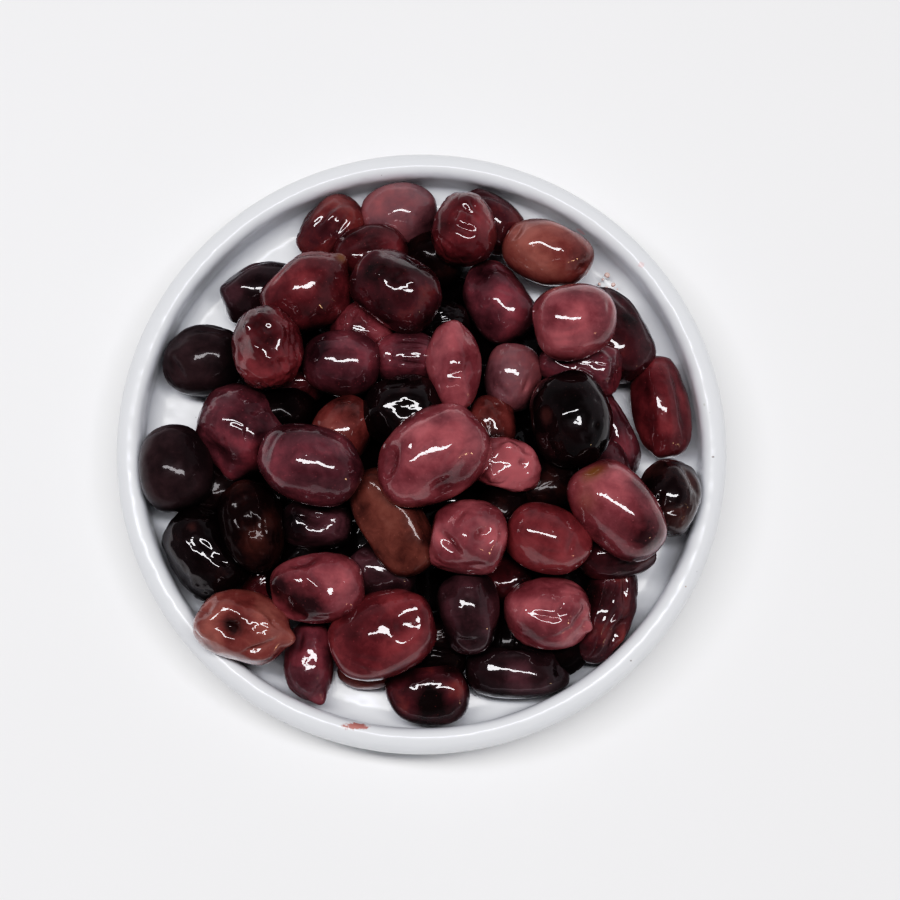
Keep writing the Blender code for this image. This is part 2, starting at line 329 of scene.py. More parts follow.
# %% Sizes of the dish
DISH_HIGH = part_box("dish")[1]
DISH_RADIUS = DISH_HIGH.x
DISH_HEIGHT = DISH_HIGH.z
RIM_CREST_RADIUS = 0.076
RIM_HALF_HEIGHT = 0.0042
WALL_RADIUS = 0.0733
FLOOR_HEIGHT = 0.0075
FLOOR_FILLET = 0.0050
BASE_THICKNESS = 0.0050
BASE_RADIUS = 0.0640
BASE_FILLET = 0.0080
FOOT_OUTER_RADIUS = 0.0520
FOOT_WIDTH = 0.0050
FOOT_CORNER = 0.0008
UNDERSIDE = FLOOR_HEIGHT - BASE_THICKNESS
RIM_SHOULDER = DISH_HEIGHT - RIM_HALF_HEIGHT
print(f"dish: {2000 * DISH_RADIUS:.1f} mm across, {1000 * DISH_HEIGHT:.1f} mm high")

# %% Profile of the dish
ARC_STEPS = 16
DISH_COLUMNS = 240
PROFILE_STEP = 0.0012
RIPPLE_DEPTH = 0.00005
RIPPLE_LENGTH = 0.011
RIPPLE_SEED = 5


def arc(centre, half_width, half_height, start, end):
    """Points (radius, height) on a stretch of an ellipse, from start to end in degrees."""
    turn = np.radians(np.linspace(start, end, ARC_STEPS + 1))
    reach = np.stack([half_width * np.cos(turn), half_height * np.sin(turn)], axis=-1)
    return np.asarray(centre) + reach


def dish_inside():
    """From the axis over the floor, up the cove and wall and over the rim to its crest."""
    cove = (WALL_RADIUS - FLOOR_FILLET, FLOOR_HEIGHT + FLOOR_FILLET)
    rim = (RIM_CREST_RADIUS, RIM_SHOULDER)
    return np.concatenate([
        [(0.0, FLOOR_HEIGHT)],
        arc(cove, FLOOR_FILLET, FLOOR_FILLET, -90, 0),
        arc(rim, RIM_CREST_RADIUS - WALL_RADIUS, RIM_HALF_HEIGHT, 180, 90),
    ])


def dish_outside():
    """From just past the crest down the outer side, under the base and round the foot ring."""
    rim = (RIM_CREST_RADIUS, RIM_SHOULDER)
    base = (BASE_RADIUS, UNDERSIDE + BASE_FILLET)
    foot_inner = FOOT_OUTER_RADIUS - FOOT_WIDTH
    corner = FOOT_CORNER
    return np.concatenate([
        arc(rim, DISH_RADIUS - RIM_CREST_RADIUS, RIM_HALF_HEIGHT, 90, -45)[1:],
        arc(base, BASE_FILLET, BASE_FILLET, -25, -90),
        arc((FOOT_OUTER_RADIUS + corner, UNDERSIDE - corner), corner, corner, 90, 180),
        arc((FOOT_OUTER_RADIUS - corner, corner), corner, corner, 0, -90),
        arc((foot_inner + corner, corner), corner, corner, -90, -180),
        arc((foot_inner - corner, UNDERSIDE - corner), corner, corner, 0, 90),
        [(0.0, UNDERSIDE)],
    ])


def split_evenly(profile, step):
    """Add points to a profile, so that no straight run is longer than the step."""
    runs = np.hypot(*np.diff(profile, axis=0).T)
    along = np.concatenate([[0.0], np.cumsum(runs)])
    counts = np.maximum(1, np.ceil(runs / step).astype(int))
    stops = [np.linspace(a, b, n, endpoint=False) for a, b, n in zip(along[:-1], along[1:], counts)]
    stops = np.concatenate(stops + [along[-1:]])
    return np.stack([np.interp(stops, along, profile[:, i]) for i in (0, 1)], axis=-1)


def turned(profile, columns):
    """Radius r and height h go to (r cos t, r sin t, h), with t once round the axis."""
    turn = np.linspace(0.0, 2.0 * math.pi, columns, endpoint=False)
    radius = profile[:, :1]
    flat_height = profile[:, 1:] + 0.0 * turn
    return np.stack([radius * np.cos(turn), radius * np.sin(turn), flat_height], axis=-1)


def make_dish():
    """The dish's skin, with shallow ripples that only ever go inwards."""
    profile = split_evenly(np.concatenate([dish_inside(), dish_outside()]), PROFILE_STEP)
    points = turned(profile, DISH_COLUMNS)
    slope = np.gradient(profile, axis=0)
    slope = slope / np.maximum(np.hypot(slope[:, 0], slope[:, 1]), 1e-9)[:, None]
    depth = RIPPLE_DEPTH * (1.0 + smooth_noise(points, RIPPLE_LENGTH, RIPPLE_SEED)) / 2.0
    inward = turned(np.stack([slope[:, 1], -slope[:, 0]], axis=-1), DISH_COLUMNS)
    lift = np.where(profile[:, 1] > UNDERSIDE, 1.0, 0.0)[:, None]
    points = points + inward * (depth * lift)[..., None]
    make_piece("glazed_dish", [points], {}, GLAZE, "dish")


make_dish()

# %% [markdown]
# Where each olive lies
#
# The camera looks down from 79 degrees, so each olive is known by where it shows, how long and
# wide it looks, and which way it is turned. How high it lies is worked out: one by one, from the
# lowest to the top one, each sinks along the line of sight until it meets the dish or the olives
# below. A rigid-body simulation could drop them, but then none would lie where the photo has it.
# Olives are soft, so where two meet, each gives way by a millimetre and a half.

# %% What an olive is
# Seen on the rim's plane, in millimetres and degrees: across to the right and up from the middle,
# length, width and turn. Then the skin's kind, how ripe it looks from 0, dark, to 1, light, how
# wrinkled and how lumpy it is, and its own marks.
Olive = namedtuple("Olive", "across up length width turn skin tone wrinkle lump marks",
                   defaults=("ink", 0.4, 0.4, 0.5, ()))

# A mark sits at (across, up) from the olive's middle, in seen millimetres. It reaches over its size,
# or over long by size along its angle, rises or sinks, and lightens, darkens or scars the skin.
Mark = namedtuple("Mark", "across up size rise long angle tone scar", defaults=(0.0,) * 5)

# A cut flattens the skin where it faces the same way as at (across, up), by its depth.
Cut = namedtuple("Cut", "across up depth")


def tint(across, up, size, tone):
    """A mark that leaves the form alone, and only lightens or darkens the skin."""
    return Mark(across, up, size, tone=tone)


# %% The olives on the floor of the dish
FLOOR_OLIVES = [
    Olive(-41.5, 24, 16, 15, 0),
    Olive(3, -51, 17, 15, 20, "drained_and_shaded_ink"),
    Olive(-27, -41, 16, 14, 90),
    Olive(-42, -36.5, 12.5, 11.5, 30, "burgundy", 0.5),
    # On this olive the lighter tint just above its middle is a painted sheen round its reflection.
    Olive(-58, 22, 21.5, 19, 10, "drained_aubergine", 0.6, 0.4, 0.25, (
        Cut(-8, -3, 1.4), Cut(3, 8, 0.9), Mark(-7, -2.6, 1, -0.9, 4.5, -55),
        Mark(-8.6, -4.6, 0.8, 0.5, 3.5, -50), Mark(1.8, 7.2, 0.8, -0.6, 3.6, -8), tint(-2, 2.4, 3.6, 0.3))),
    Olive(-42.5, 39.5, 22, 16, 20, "aubergine", 0.45, 0.2, 0.5, (
        Cut(-6.5, -5, 1.4), Cut(-7, 4, 1.2), Mark(-9.6, 0.4, 3, 0.3), Mark(-6.2, -5.6, 3, 0.6),
        Mark(-1.5, 6.4, 1.2, -0.5, 5, 25, 0.2))),
    Olive(-24, 57, 20, 15.5, 40, "wine", 0.72, 0.7, 0.5, (
        Mark(-2.6, 0.6, 1.2, -0.6, 5.5, 44), Mark(0.4, 1.2, 1, 0.5, 5, 46), Mark(3.6, -0.4, 1, -0.5, 3, 60))),
    Olive(-6, 61, 20, 16.5, 0, "dusty", 0.62, 0.1, 0.4, (tint(7.5, -3.5, 5, -0.5), tint(-3, 3, 6, 0.15))),
    Olive(19, 59, 20.5, 15, -40, "wine", 0.48, 0.3, 0.5, (Mark(-2, 5.5, 0.9, -0.6, 4.5, -20),)),
    Olive(48.8, 28.4, 27.5, 20.5, -52, "wine", 0.4, 0.25, 0.5, (
        Cut(3.4, 2.4, 1.5), Mark(3, 7.4, 1.4, -0.5, 7, -46, 0.5), Mark(1.5, 4, 0.7, 0.4, 3, -35))),
    Olive(62.5, 9.5, 27.5, 16, 98, "burgundy", 0.56, 0.3, 0.5, (
        Cut(6.5, 1, 1.6), Cut(-6.5, -3, 0.8), Mark(3.8, 1, 1.1, 0.4, 10, 100),
        Mark(6, -1, 1.8, -1.1, 9, 103, -0.4), Mark(-1, -12.4, 2, 0.9),
        Mark(-4.8, 0, 1.4, -0.25, 9, 95, -0.4))),
    Olive(-57, -29.5, 27, 21, -55, "ink", 0.3, 1.1, 0.5, (
        Cut(6, 5, 0.8), tint(-3.3, 5.8, 1.6, 0.9), Mark(0.5, 0.6, 0.9, -0.4, 2, -38),
        Mark(5.4, 0, 0.9, -0.5, 2.4, -62), Mark(-1, 10.8, 1.6, -0.7, 3.5, 0),
        Mark(4, -3, 0.8, -0.5, 3, -20))),
    Olive(-29.5, -57, 22, 14, 88, "plum", 0.68, 0.4, 0.5, (
        Mark(2.4, -10.2, 1.8, 1.2), Mark(-2.4, 4.4, 1, -0.7, 4, 85), Mark(1.6, 4.6, 1.2, 0.4, 3, 80))),
    Olive(-14.5, -58.5, 15.5, 11.5, 0, "russet", 0.4),
    Olive(1.5, -65, 22.5, 17, 0, "wine", 0.34, 0.15, 0.3, (
        Mark(2, -2.6, 4.2, -0.3, 5, 20, -0.8), tint(-5.5, 0.8, 2.6, -0.4), Mark(8.2, 1, 3.6, 0.2, tone=0.9),
        tint(-6.5, -3.6, 2.4, 0.3))),
    Olive(26, -61.5, 27.5, 16, -2, "aubergine", 0.4, 0.25, 0.4, (
        Cut(11, 1, 0.8), Mark(0, 4.4, 1.2, 0.5, 9, 2), Mark(2, 5.6, 1, -0.3, 3, -10),
        tint(-0.5, -2.5, 4.5, 0.3), Mark(11, 0.5, 1.4, -0.6, 3, 70))),
    Olive(48.5, -45, 28, 16, 68, "wine", 0.35, 0.6, 0.6, (
        Cut(-6, 1, 1.2), Cut(5, -3, 1.2), tint(-5, 5, 5, -0.9), Mark(2.5, 9.5, 3.4, 0.5, tone=1),
        tint(6, 3, 3, 0.6), Mark(5.6, 4.2, 0.9, -1, 6, 95), Mark(6.2, -3.6, 1.6, -1.4, 3.4, 30),
        Mark(4.4, -1.8, 0.8, 0.8, 4, 35), Mark(2.8, -8.2, 1, -0.9, 4.5, 75),
        Mark(4.8, -7.2, 1, 0.5, 3, 70, 0.8), Mark(0.8, -4.6, 0.8, -0.5, 5, 62))),
]
print(len(FLOOR_OLIVES), "olives on the floor")

# %% The olives of the pile, from the lowest to the top one
PILED_OLIVES = [
    Olive(64.5, -14, 21, 17.5, 80, "ink", 0.68, 0.5, 0.5, (
        Cut(6, 5, 1.2), Cut(-4, 6, 0.8), Mark(5.8, 4.2, 1.6, -0.8, 5, -60, 0.2),
        Mark(1.5, -4.6, 0.9, -0.7, 4.5, 5, 0.6), tint(0.5, -6.8, 2.6, 0.6),
        Mark(-3.5, -1.6, 0.9, -0.5, 2, 60))),
    Olive(-64, -6.5, 23, 19.5, 100, "drained_aubergine", 0.6, 0.1, 0.2, (
        Mark(-4.4, 9, 0.8, -0.4, 3, 20), tint(1.5, -1.8, 2.6, 0.15))),
    Olive(51, -28.5, 22, 13.5, 10, "wine", 0.4, 0.3),
    Olive(49.5, 3.5, 26, 13.5, -68, "plum", 0.5, 0.4, 0.4, (Cut(6, 6, 2.6), Mark(2.6, 3, 0.9, -0.5, 5, -60))),
    Olive(2.5, 47.5, 17, 15.5, 20, "drained_and_shaded_ink", 0.5, 0.5),
    Olive(-35.5, 15.5, 21, 13, 0, "burgundy", 0.2, 0.6),
    Olive(5, 31, 16, 13.5, 10, "ink", 0.2, 0.6, 0.5, (Mark(-2, -1, 2.2, -0.7), Mark(0.5, 5, 1, -0.4, 3, 30))),
    Olive(31.5, -11, 18, 15.5, 20, "drained_and_shaded_ink", 0.6, 0.4),
    Olive(-20.5, 3.5, 19, 16.5, 60, "russet", 0.42, 0.15, 0.3, (tint(-3.4, -1, 3, 0.4),)),
    Olive(20.5, -17.5, 16, 14, 40, "drained_and_shaded_ink", 0.5, 0.4),
    Olive(-10.5, -33.5, 19, 16, -20, "aubergine", 0.6, 0.15, 0.4, (Mark(-4, 3.6, 0.9, -0.7, 3, -50),)),
    Olive(18, 5.5, 15.5, 13.5, 90, "russet", 0.3, 0.3),
    Olive(42.5, 20, 25, 14.5, -10, "plum", 0.55, 0.7, 0.5, (
        Cut(12, -2.5, 4), Mark(-6.4, 0.4, 0.7, -0.6, 2.6, -40), Mark(-4.8, 0.4, 0.7, -0.6, 2.6, -42),
        Mark(7, 0.8, 0.9, -0.8, 3, -50))),
    Olive(-12.8, 49.5, 20, 15.5, 10, "burgundy", 0.4, 0.4, 0.4, (
        Cut(0, 3, 1.4), Mark(-5, 3.6, 0.9, 0.4, 4.5, 38), Mark(-3.4, 2, 1.1, -0.5, 4.5, 36))),
    Olive(-15.5, 29.5, 17.5, 14.5, -15, "rose", 0.24, 0.5, 0.5, (Mark(-2, 2.6, 0.9, -0.6, 3, 65),)),
    Olive(-3.5, 22, 20, 14.5, 0, "plum", 0.55, 0.35, 0.6, (
        Mark(0.5, 3.4, 0.7, -0.4, 6, -6), Mark(0.5, 1.6, 0.7, -0.3, 5, 6), Mark(1, -2.8, 0.8, -0.5, 5.5, -8),
        Mark(-4.6, -0.6, 0.8, -0.5, 3.5, 80))),
    Olive(-44, -21.5, 25, 17, -78, "drained_and_shaded_ink", 0.55, 1.2, 0.3, (
        Mark(5.4, 5.6, 0.9, 0.4, 2.6, 85), Mark(-2, 5, 2.4, -0.6), Mark(0.5, -1, 2, -0.6),
        tint(1, -3, 3, 0.5))),
    Olive(-27.5, -21, 19, 14.5, 0, "aubergine", 0.7, 0.5, 0.4, (
        Mark(0.8, 1.2, 2.9, -1.7), tint(-5.5, 0, 4, -0.8), tint(6, -0.5, 3, 0.4))),
    Olive(21, -35.5, 15.5, 13.5, 0, "burgundy", 0.3, 0.3, 0.5, (Cut(-2, 2.5, 1.2),)),
    Olive(33, 50, 24.5, 17, -22, "russet", 0.72, 0.15, 0.5, (
        Cut(-8, 5, 0.8), Cut(8, -6, 0.8), Mark(-8.8, 3.8, 1.4, -0.5, 3, 60), Mark(-1.8, -3.2, 1.6, -0.3),
        tint(7, -3, 5.5, -0.5), tint(-4, 4, 5, 0.15), Mark(9, -6, 1.4, -0.4))),
    Olive(-30.5, 39, 25, 20.5, 30, "burgundy", 0.5, 0.25, 0.5, (
        Cut(-8, 6, 1.4), Cut(-5, -7, 1.2), Cut(8, -3, 0.8), Mark(9, 7.8, 2.4, 1.7),
        Mark(8.6, 7.4, 1.2, -0.4, scar=1), Mark(-6.6, 5.8, 0.7, 0.6, 6.5, 48),
        Mark(-5.6, 4.8, 0.9, -0.7, 6.5, 48), Mark(1.6, 9, 0.9, -0.6, 5, 5), tint(-8, -4, 4.5, -0.5),
        tint(3, -7, 5, -0.25))),
    Olive(-46.5, 3.5, 24.5, 23, -20, "plum", 0.5, 0.6, 0.6, (
        Cut(-7.5, -7, 1.5), Cut(8.5, -7, 1.5), Mark(-2.6, -11.6, 3.4, 2), Mark(-6.8, -7.6, 3, -1),
        Mark(7.4, -7, 3.2, -1.2), Mark(-4.2, -4.6, 0.7, -0.5, 4.5, 86), Mark(-1, -4.8, 0.7, -0.5, 4.5, 90),
        Mark(2, -4.4, 0.7, -0.5, 4.5, 92), Mark(4.4, 3.4, 1.3, -0.5, 2, 20), Mark(7.6, 2.2, 1.2, 0.4),
        Mark(-7, 0.4, 2, -0.4, tone=-0.4), tint(0.5, -6.4, 2.6, 0.3))),
    Olive(-5, 8.5, 21.5, 19, 10, "ink", 0.3, 0.3, 0.4, (
        Mark(0.8, -0.8, 3, -1.2), tint(0.4, 4.6, 1.8, 0.9), tint(-5, 5, 2.4, 0.4))),
    Olive(23.5, 17, 18, 16, 90, "dusty", 0.6, 0.15, 0.3, (
        Mark(-3, -4.6, 1.2, -0.4, 3, -40), Mark(3.4, -4, 0.8, -0.4, 2.6, 75))),
    Olive(12.5, -44, 22, 17.5, 95, "aubergine", 0.5, 0.25, 0.4, (
        Cut(-5, 4, 0.8), Cut(-5, -7, 1.2), Cut(6, 1, 0.9), Cut(2, -8, 0.8), Mark(-2.6, -8.4, 0.9, -0.8, 4, 8),
        Mark(-4.2, -9.4, 0.9, 0.5, 2.4, -50), tint(1.6, -3.5, 4, 0.15))),
    # The darker tone in this olive's crater and in the groove at its upper left is painted shade.
    Olive(-47, -47.5, 25.5, 19.5, -12, "russet", 0.62, 0.6, 0.5, (
        Cut(-9, 4, 1), Cut(-8, -6, 1), Cut(6, 6, 1), Mark(-2.6, -1.2, 3.2, -2.4, 3.6, -40, -0.6),
        Mark(-3, -1.6, 1.8, 0, 3.4, -70, -0.7), Mark(11.8, -3.4, 2.2, 2),
        Mark(12.4, -3.7, 0.9, -0.4, scar=0.5), Mark(4.4, -6.6, 0.8, -1.2, 4.5, 26),
        Mark(6.4, -7.6, 1.2, 0.9, 3.4, 20), Mark(-8.6, 3.8, 1.6, -0.6, 2.2, 50, -0.4),
        Mark(5.8, 2.4, 1, 0.6, 4, -55), Mark(3.4, -2.8, 0.9, -0.6, 3, 60), Mark(-9.5, -2.6, 1.6, 0.5))),
    Olive(-10, -49.5, 29, 23, 22, "burgundy", 0.64, 0.25, 0.4, (
        Cut(-5.5, 4, 1.5), Cut(-5.5, -6, 1.6), Cut(-7, -1, 1.2), Cut(1, 9, 0.8), Mark(9, 7.6, 3.2, 1.3),
        Mark(6, 1.4, 4.4, -1.8), Mark(-1.4, 4.6, 0.8, -0.9, 3.4, 75), Mark(-3.2, 5.4, 0.8, 0.4, 2, 60),
        Mark(-6.4, -7.4, 0.9, -1.3, 6.5, -18), Mark(-5.4, -8.8, 0.9, 0.7, 6, -20),
        Mark(-8, -6, 0.8, 0.6, 4, -22), tint(7, 0, 6, 0.15), tint(-9, -2, 5, -0.3))),
    Olive(11, 56, 19, 17.5, 90, "burgundy", 0.62, 0.9, 0.5, (
        Mark(-2.6, 2, 1, -0.8, 3.6, 80), Mark(0.6, 3.4, 0.8, -0.6, 3.4, -48),
        Mark(2.4, 4.4, 0.7, -0.5, 2.4, -58), Mark(-1, -2.2, 1, -0.7, 2.6, -30), Mark(1.6, -3, 1.1, -0.6),
        tint(-4.8, -1, 3, -0.4))),
    Olive(-40, 25, 22, 19, 98, "burgundy", 0.5, 1.2, 0.15, (
        Mark(-2.6, -1.6, 1.4, 0.9, 2.6, -55), Mark(-4.6, 3.6, 1.2, 0.7), Mark(0.5, 3, 1.4, -0.8),
        Mark(3.8, 1, 1, 0.7, 4, 80), Mark(1, -5, 1.3, 0.8), Mark(-1.5, 6.4, 1.2, 0.6),
        Mark(4, -5.6, 1, -0.7, 3, -30), tint(-0.4, 0.8, 3, -0.2))),
    Olive(-6.5, 40, 25, 20.5, -28, "wine", 0.35, 0.4, 0.5, (
        Cut(-8, 2, 1), Cut(8, -5, 0.7), Cut(2, 8, 0.9), Mark(6.2, 7.4, 3.2, -1),
        Mark(0.4, 1.2, 1.3, -0.6, 2.2, 60), Mark(4.2, -0.4, 1.1, 0.5), tint(8.6, -2.6, 4.4, 0.5),
        Mark(-6.8, 7.4, 1, 0.5, 5, 42), Mark(-6, -1.5, 1.6, -0.4))),
    Olive(20, 37.5, 23.5, 17.5, -60, "plum", 0.5, 0.4, 0.5, (
        Cut(-6, 5, 1.3), Cut(5, 6, 0.6), Cut(-4, -5, 0.7), Mark(-4, 7.4, 0.8, -0.8, 4, -8),
        Mark(-0.5, 8.4, 0.7, -0.6, 3, -50), Mark(-5.6, 4.4, 0.7, -0.5, 3, 30), tint(3.6, -5.5, 5, 0.9),
        tint(-4, 5.5, 4.5, -0.6), Mark(1.4, 0.4, 1, -0.4, 2.4, -20))),
    Olive(-21, 21, 21, 17.5, -5, "plum", 0.45, 0.15, 0.3, (
        tint(-6, 2, 4.5, -0.5), tint(4, 0.5, 4.5, 0.2), Mark(3.6, -3.6, 1, -0.4))),
    Olive(40, 32, 22, 20.5, 10, "rose", 0.72, 0.1, 0.15, (
        Mark(-4.6, -5.4, 0.8, -0.35, 3, -35), Mark(-1.4, -4.6, 0.7, -0.3, 2.4, 20),
        Mark(-3, -7, 0.7, -0.3, 3, 5), Mark(8.2, 2, 0.8, -0.3, 3.5, 70), tint(4, -3, 4, 0.1))),
    Olive(39, 6.5, 25.5, 22, 95, "ink", 0.24, 0.15, 0.3, (
        Cut(-6, -8, 0.8), Mark(0.4, 0.2, 1.1, 0.3, 5.5, 24), Mark(-7.4, -0.6, 2, -0.3, tone=1.3),
        Mark(6.2, 3.4, 0.5, -0.35, 4, 20), Mark(5.6, -3.6, 1, -0.5, 1.4, 60), tint(-1.5, -7, 4, 0.5),
        Mark(2.6, -6.6, 0.8, -0.5, 1.8, -35))),
    # The dark tone in the deep dent at the right of this olive, its hole, is painted shade.
    Olive(21, -5.5, 20, 15.5, -10, "rose", 0.85, 1, 0.8, (
        Cut(0.3, -0.7, 0.6), Cut(-4, 4, 1.2), Cut(6, -3, 1.2), Mark(5.4, -0.8, 1.1, -1.8, tone=-1.4),
        Mark(0.2, -1.2, 0.7, 0.9, 4.2, 62), Mark(-1.6, -1.4, 1.2, -0.9, 4, 64),
        Mark(-3.4, -0.2, 0.7, -0.5, 3, -4), Mark(1.2, 3.6, 1.8, 1.4), Mark(-3, -4.4, 1.7, 1.4),
        Mark(6.4, 3, 1.6, -0.8), Mark(7.4, -3.4, 1.4, 0.5))),
    Olive(-8, -20, 31.5, 17.5, -58, "drained_and_shaded_russet", 0.36, 0.3, 0.4, (
        Cut(-3, -2, 2.8), Mark(2, -8.6, 0.7, -1.2, 4.2, -28), Mark(3.6, -9.4, 0.7, -1, 4.4, -42),
        tint(0, -6, 2.4, 0.3), tint(4, -11.5, 3, -0.5), tint(-3, 4, 4, 0.2), Mark(-2, -4, 2, -0.5))),
    Olive(8.5, 20, 23.5, 14.5, 95, "rose", 0.68, 0.3, 0.4, (
        Cut(-4.5, 3, 0.9), Cut(4.5, 4, 0.9), Cut(0, -8.5, 0.8), Mark(0.2, 10.6, 2.4, 0.9),
        Mark(0.2, -3, 0.8, -0.6, 4, 12), Mark(-1, -4.8, 1, -0.3, tone=-0.7), Mark(3.6, -2, 0.9, -0.5, 3, 80),
        tint(-2, 2, 3, 0.25), tint(0.5, -7, 4, -0.2))),
    Olive(33, -25, 23.5, 18, -20, "burgundy", 0.85, 0.1, 0.25, (
        Cut(-4, -6.5, 1), Cut(8, -2, 0.5), tint(-3, 4, 4, 0.2), Mark(5.6, -2.6, 0.9, -0.4, 2.6, 75),
        Mark(-0.5, -4.6, 0.7, -0.3, 2.6, 0))),
    # The darker tone over the lower side of this olive, round its lower facet, is painted shade.
    Olive(51, -17.5, 30, 20.5, -50, "rose", 0.58, 0.1, 0.3, (
        Cut(-3.5, -8.5, 1.9), Mark(-6.6, 9, 2.2, -0.3, 3, 40, -0.2, 0.9), tint(-2.5, 4.5, 6, 0.25),
        tint(6.5, -7.5, 7.5, -0.9), tint(-6, -6, 5, -0.6), Mark(-8.6, 1.6, 3, 0, tone=0.2, scar=0.25),
        Mark(-1, -4.6, 2.4, -0.35, 6, -40))),
    Olive(-29, -5.5, 28.5, 21, -15, "plum", 0.5, 0.15, 0.35, (
        Cut(-12.5, 2.5, 0.9), Cut(1, -9, 0.9), Cut(9, 4, 0.6), Mark(-9, 3.4, 0.9, 0.25, 6.5, 55),
        Mark(-10.8, 2.2, 2, -0.3, 5.5, 55, -0.4), Mark(3.4, 3, 1.2, -0.4), tint(2, -6, 5, -0.3),
        Mark(5.5, 0.5, 1.4, -0.3, 3, 70), tint(1.5, -9, 3, 0.35))),
    # The dark tone over this olive's lower left facet and in the dent at its top is painted shade.
    Olive(-27.5, -38, 25.5, 19.5, 5, "rose", 0.68, 0.25, 0.5, (
        Cut(-6.5, -5.5, 2.6), Cut(2.5, 0.5, 0.5), Mark(-3.6, 7, 2, -1.5, 3.2, 5, -0.4),
        Mark(-5.4, -5, 6, 0, 8.5, 135, -1.4), tint(-8.6, 0.6, 3, -0.6), Mark(-1, 1.4, 1, 0.7, 5.5, -50),
        tint(6.5, 2.5, 5, 0.3), Mark(0, -8.2, 0.8, -0.5, 5, 3))),
    Olive(32.5, -44.5, 23, 19.5, -5, "rose", 0.66, 0.45, 0.4, (
        Cut(-2.5, 4.5, 1.3), Cut(8, -5, 1.2), Cut(-6, -6, 0.8), Mark(-1.2, -1.4, 0.8, -0.7, 3.4, -12),
        Mark(3.4, 0.4, 0.8, -0.7, 3.4, 55), Mark(-1.6, 4, 3.6, 0.7, tone=0.3), Mark(10.4, -3.6, 1.6, 1.1),
        Mark(8, -2, 1, -0.7, 2.6, 50), Mark(8.8, 1.6, 1, -0.6, 2.4, -40), tint(-5, -6.6, 3.4, -0.3),
        Mark(4.8, -5.4, 0.8, -0.5, 3.6, 25))),
    # The darker tone in this olive's two dents is painted shade.
    Olive(11.5, -25, 22, 20.5, 0, "rose", 0.72, 0.6, 0.5, (
        Cut(-7, -5, 1.2), Cut(6, -3, 1.2), Cut(0, -9, 0.8), Mark(-5.4, -2.2, 1.5, -2.3, 3.8, -50, -0.5),
        Mark(4.6, 0.2, 1.8, -1.8, 2.2, 30, -0.4), Mark(-0.6, -1.6, 1.8, 0.8, 5, 85),
        Mark(-7.4, -5, 2, 0.7, 3, -50, -0.3), Mark(-1.5, 5.5, 1, -0.4, 2.6, 60),
        Mark(7.6, 0, 1.2, 0.5, 3.6, 80), Mark(2.6, -8.6, 1.2, -0.6, 2.6, 15))),
    Olive(2.5, -3.5, 32, 24, 33, "rose", 0.6, 0.12, 0.15, (
        Cut(-13, -2, 1.6), Cut(4, -9.5, 0.5), Mark(-11.6, -2.8, 2.2, -1.8, 3.2, 65),
        Mark(5.6, 5.4, 1.3, -0.4), Mark(-5.4, 0, 1.4, -0.5, 2, 60), Mark(1.5, -10, 3.2, -0.3, tone=-0.6),
        Mark(8.6, -3.8, 2.4, -0.4, 3, 70, -0.3), tint(-6, -8, 4, -0.3), tint(-1, 6, 6, 0.2),
        Mark(3, -8.6, 0.8, -0.5, 2.2, 20), Mark(5, -1.6, 1, -0.4, 2, 60))),
]
OLIVES = FLOOR_OLIVES + PILED_OLIVES
print(len(OLIVES), "olives in all")

# %% Laying the olives
MOUND_RADIUS = 0.050
MOUND_HEIGHT = 0.015
MOUND_STEEPNESS = 2.2
SOFT_SKIN = 0.0015
DISH_GAP = 0.0004
EYE_DISTANCE = 0.550
EYE_ELEVATION = math.radians(79)
GRID_REACH = 0.084
GRID_CELL = 0.0005
SETTLE_ROUNDS = 12


def mound_height(radius):
    """Height of the core under the pile: a dome that falls to the floor at its edge."""
    share = np.clip(radius / MOUND_RADIUS, 0.0, 1.0)
    return FLOOR_HEIGHT + DISH_GAP + MOUND_HEIGHT * (1.0 - share ** MOUND_STEEPNESS)


def seen_place(across, up, height):
    """Where a thing stands that shows at (across, up) on the rim's plane, at this height.

    The line from the eye through the seen place is followed down to the height. Its share of the
    eye's distance also scales the thing's size.
    """
    eye_back = EYE_DISTANCE * math.cos(EYE_ELEVATION)
    eye_height = DISH_HEIGHT + EYE_DISTANCE * math.sin(EYE_ELEVATION)
    fall = -EYE_DISTANCE * math.sin(EYE_ELEVATION) + up * math.cos(EYE_ELEVATION)
    share = (height - eye_height) / fall
    forward = EYE_DISTANCE * math.cos(EYE_ELEVATION) + up * math.sin(EYE_ELEVATION)
    return share * across, share * forward - eye_back, share


def tuck_in(x, y, half_length, half_width, turn):
    """Slide an olive on the floor towards the axis until it is clear of the dish's wall."""
    distance = math.hypot(x, y)
    angle = turn - math.atan2(y, x)
    reach = math.hypot(half_length * math.cos(angle), half_width * math.sin(angle))
    share = min(1.0, (WALL_RADIUS - DISH_GAP - reach) / distance)
    return x * share, y * share


def half_thickness(grid, x, y, half_length, half_width, turn):
    """Half the olive's thickness over each grid point: width times the root of 1 - a^2 - b^2."""
    along = (grid[0] - x) * math.cos(turn) + (grid[1] - y) * math.sin(turn)
    aside = (grid[1] - y) * math.cos(turn) - (grid[0] - x) * math.sin(turn)
    inside = 1.0 - (along / half_length) ** 2 - (aside / half_width) ** 2
    return half_width * np.sqrt(np.where(inside > 0.0, inside, np.nan))


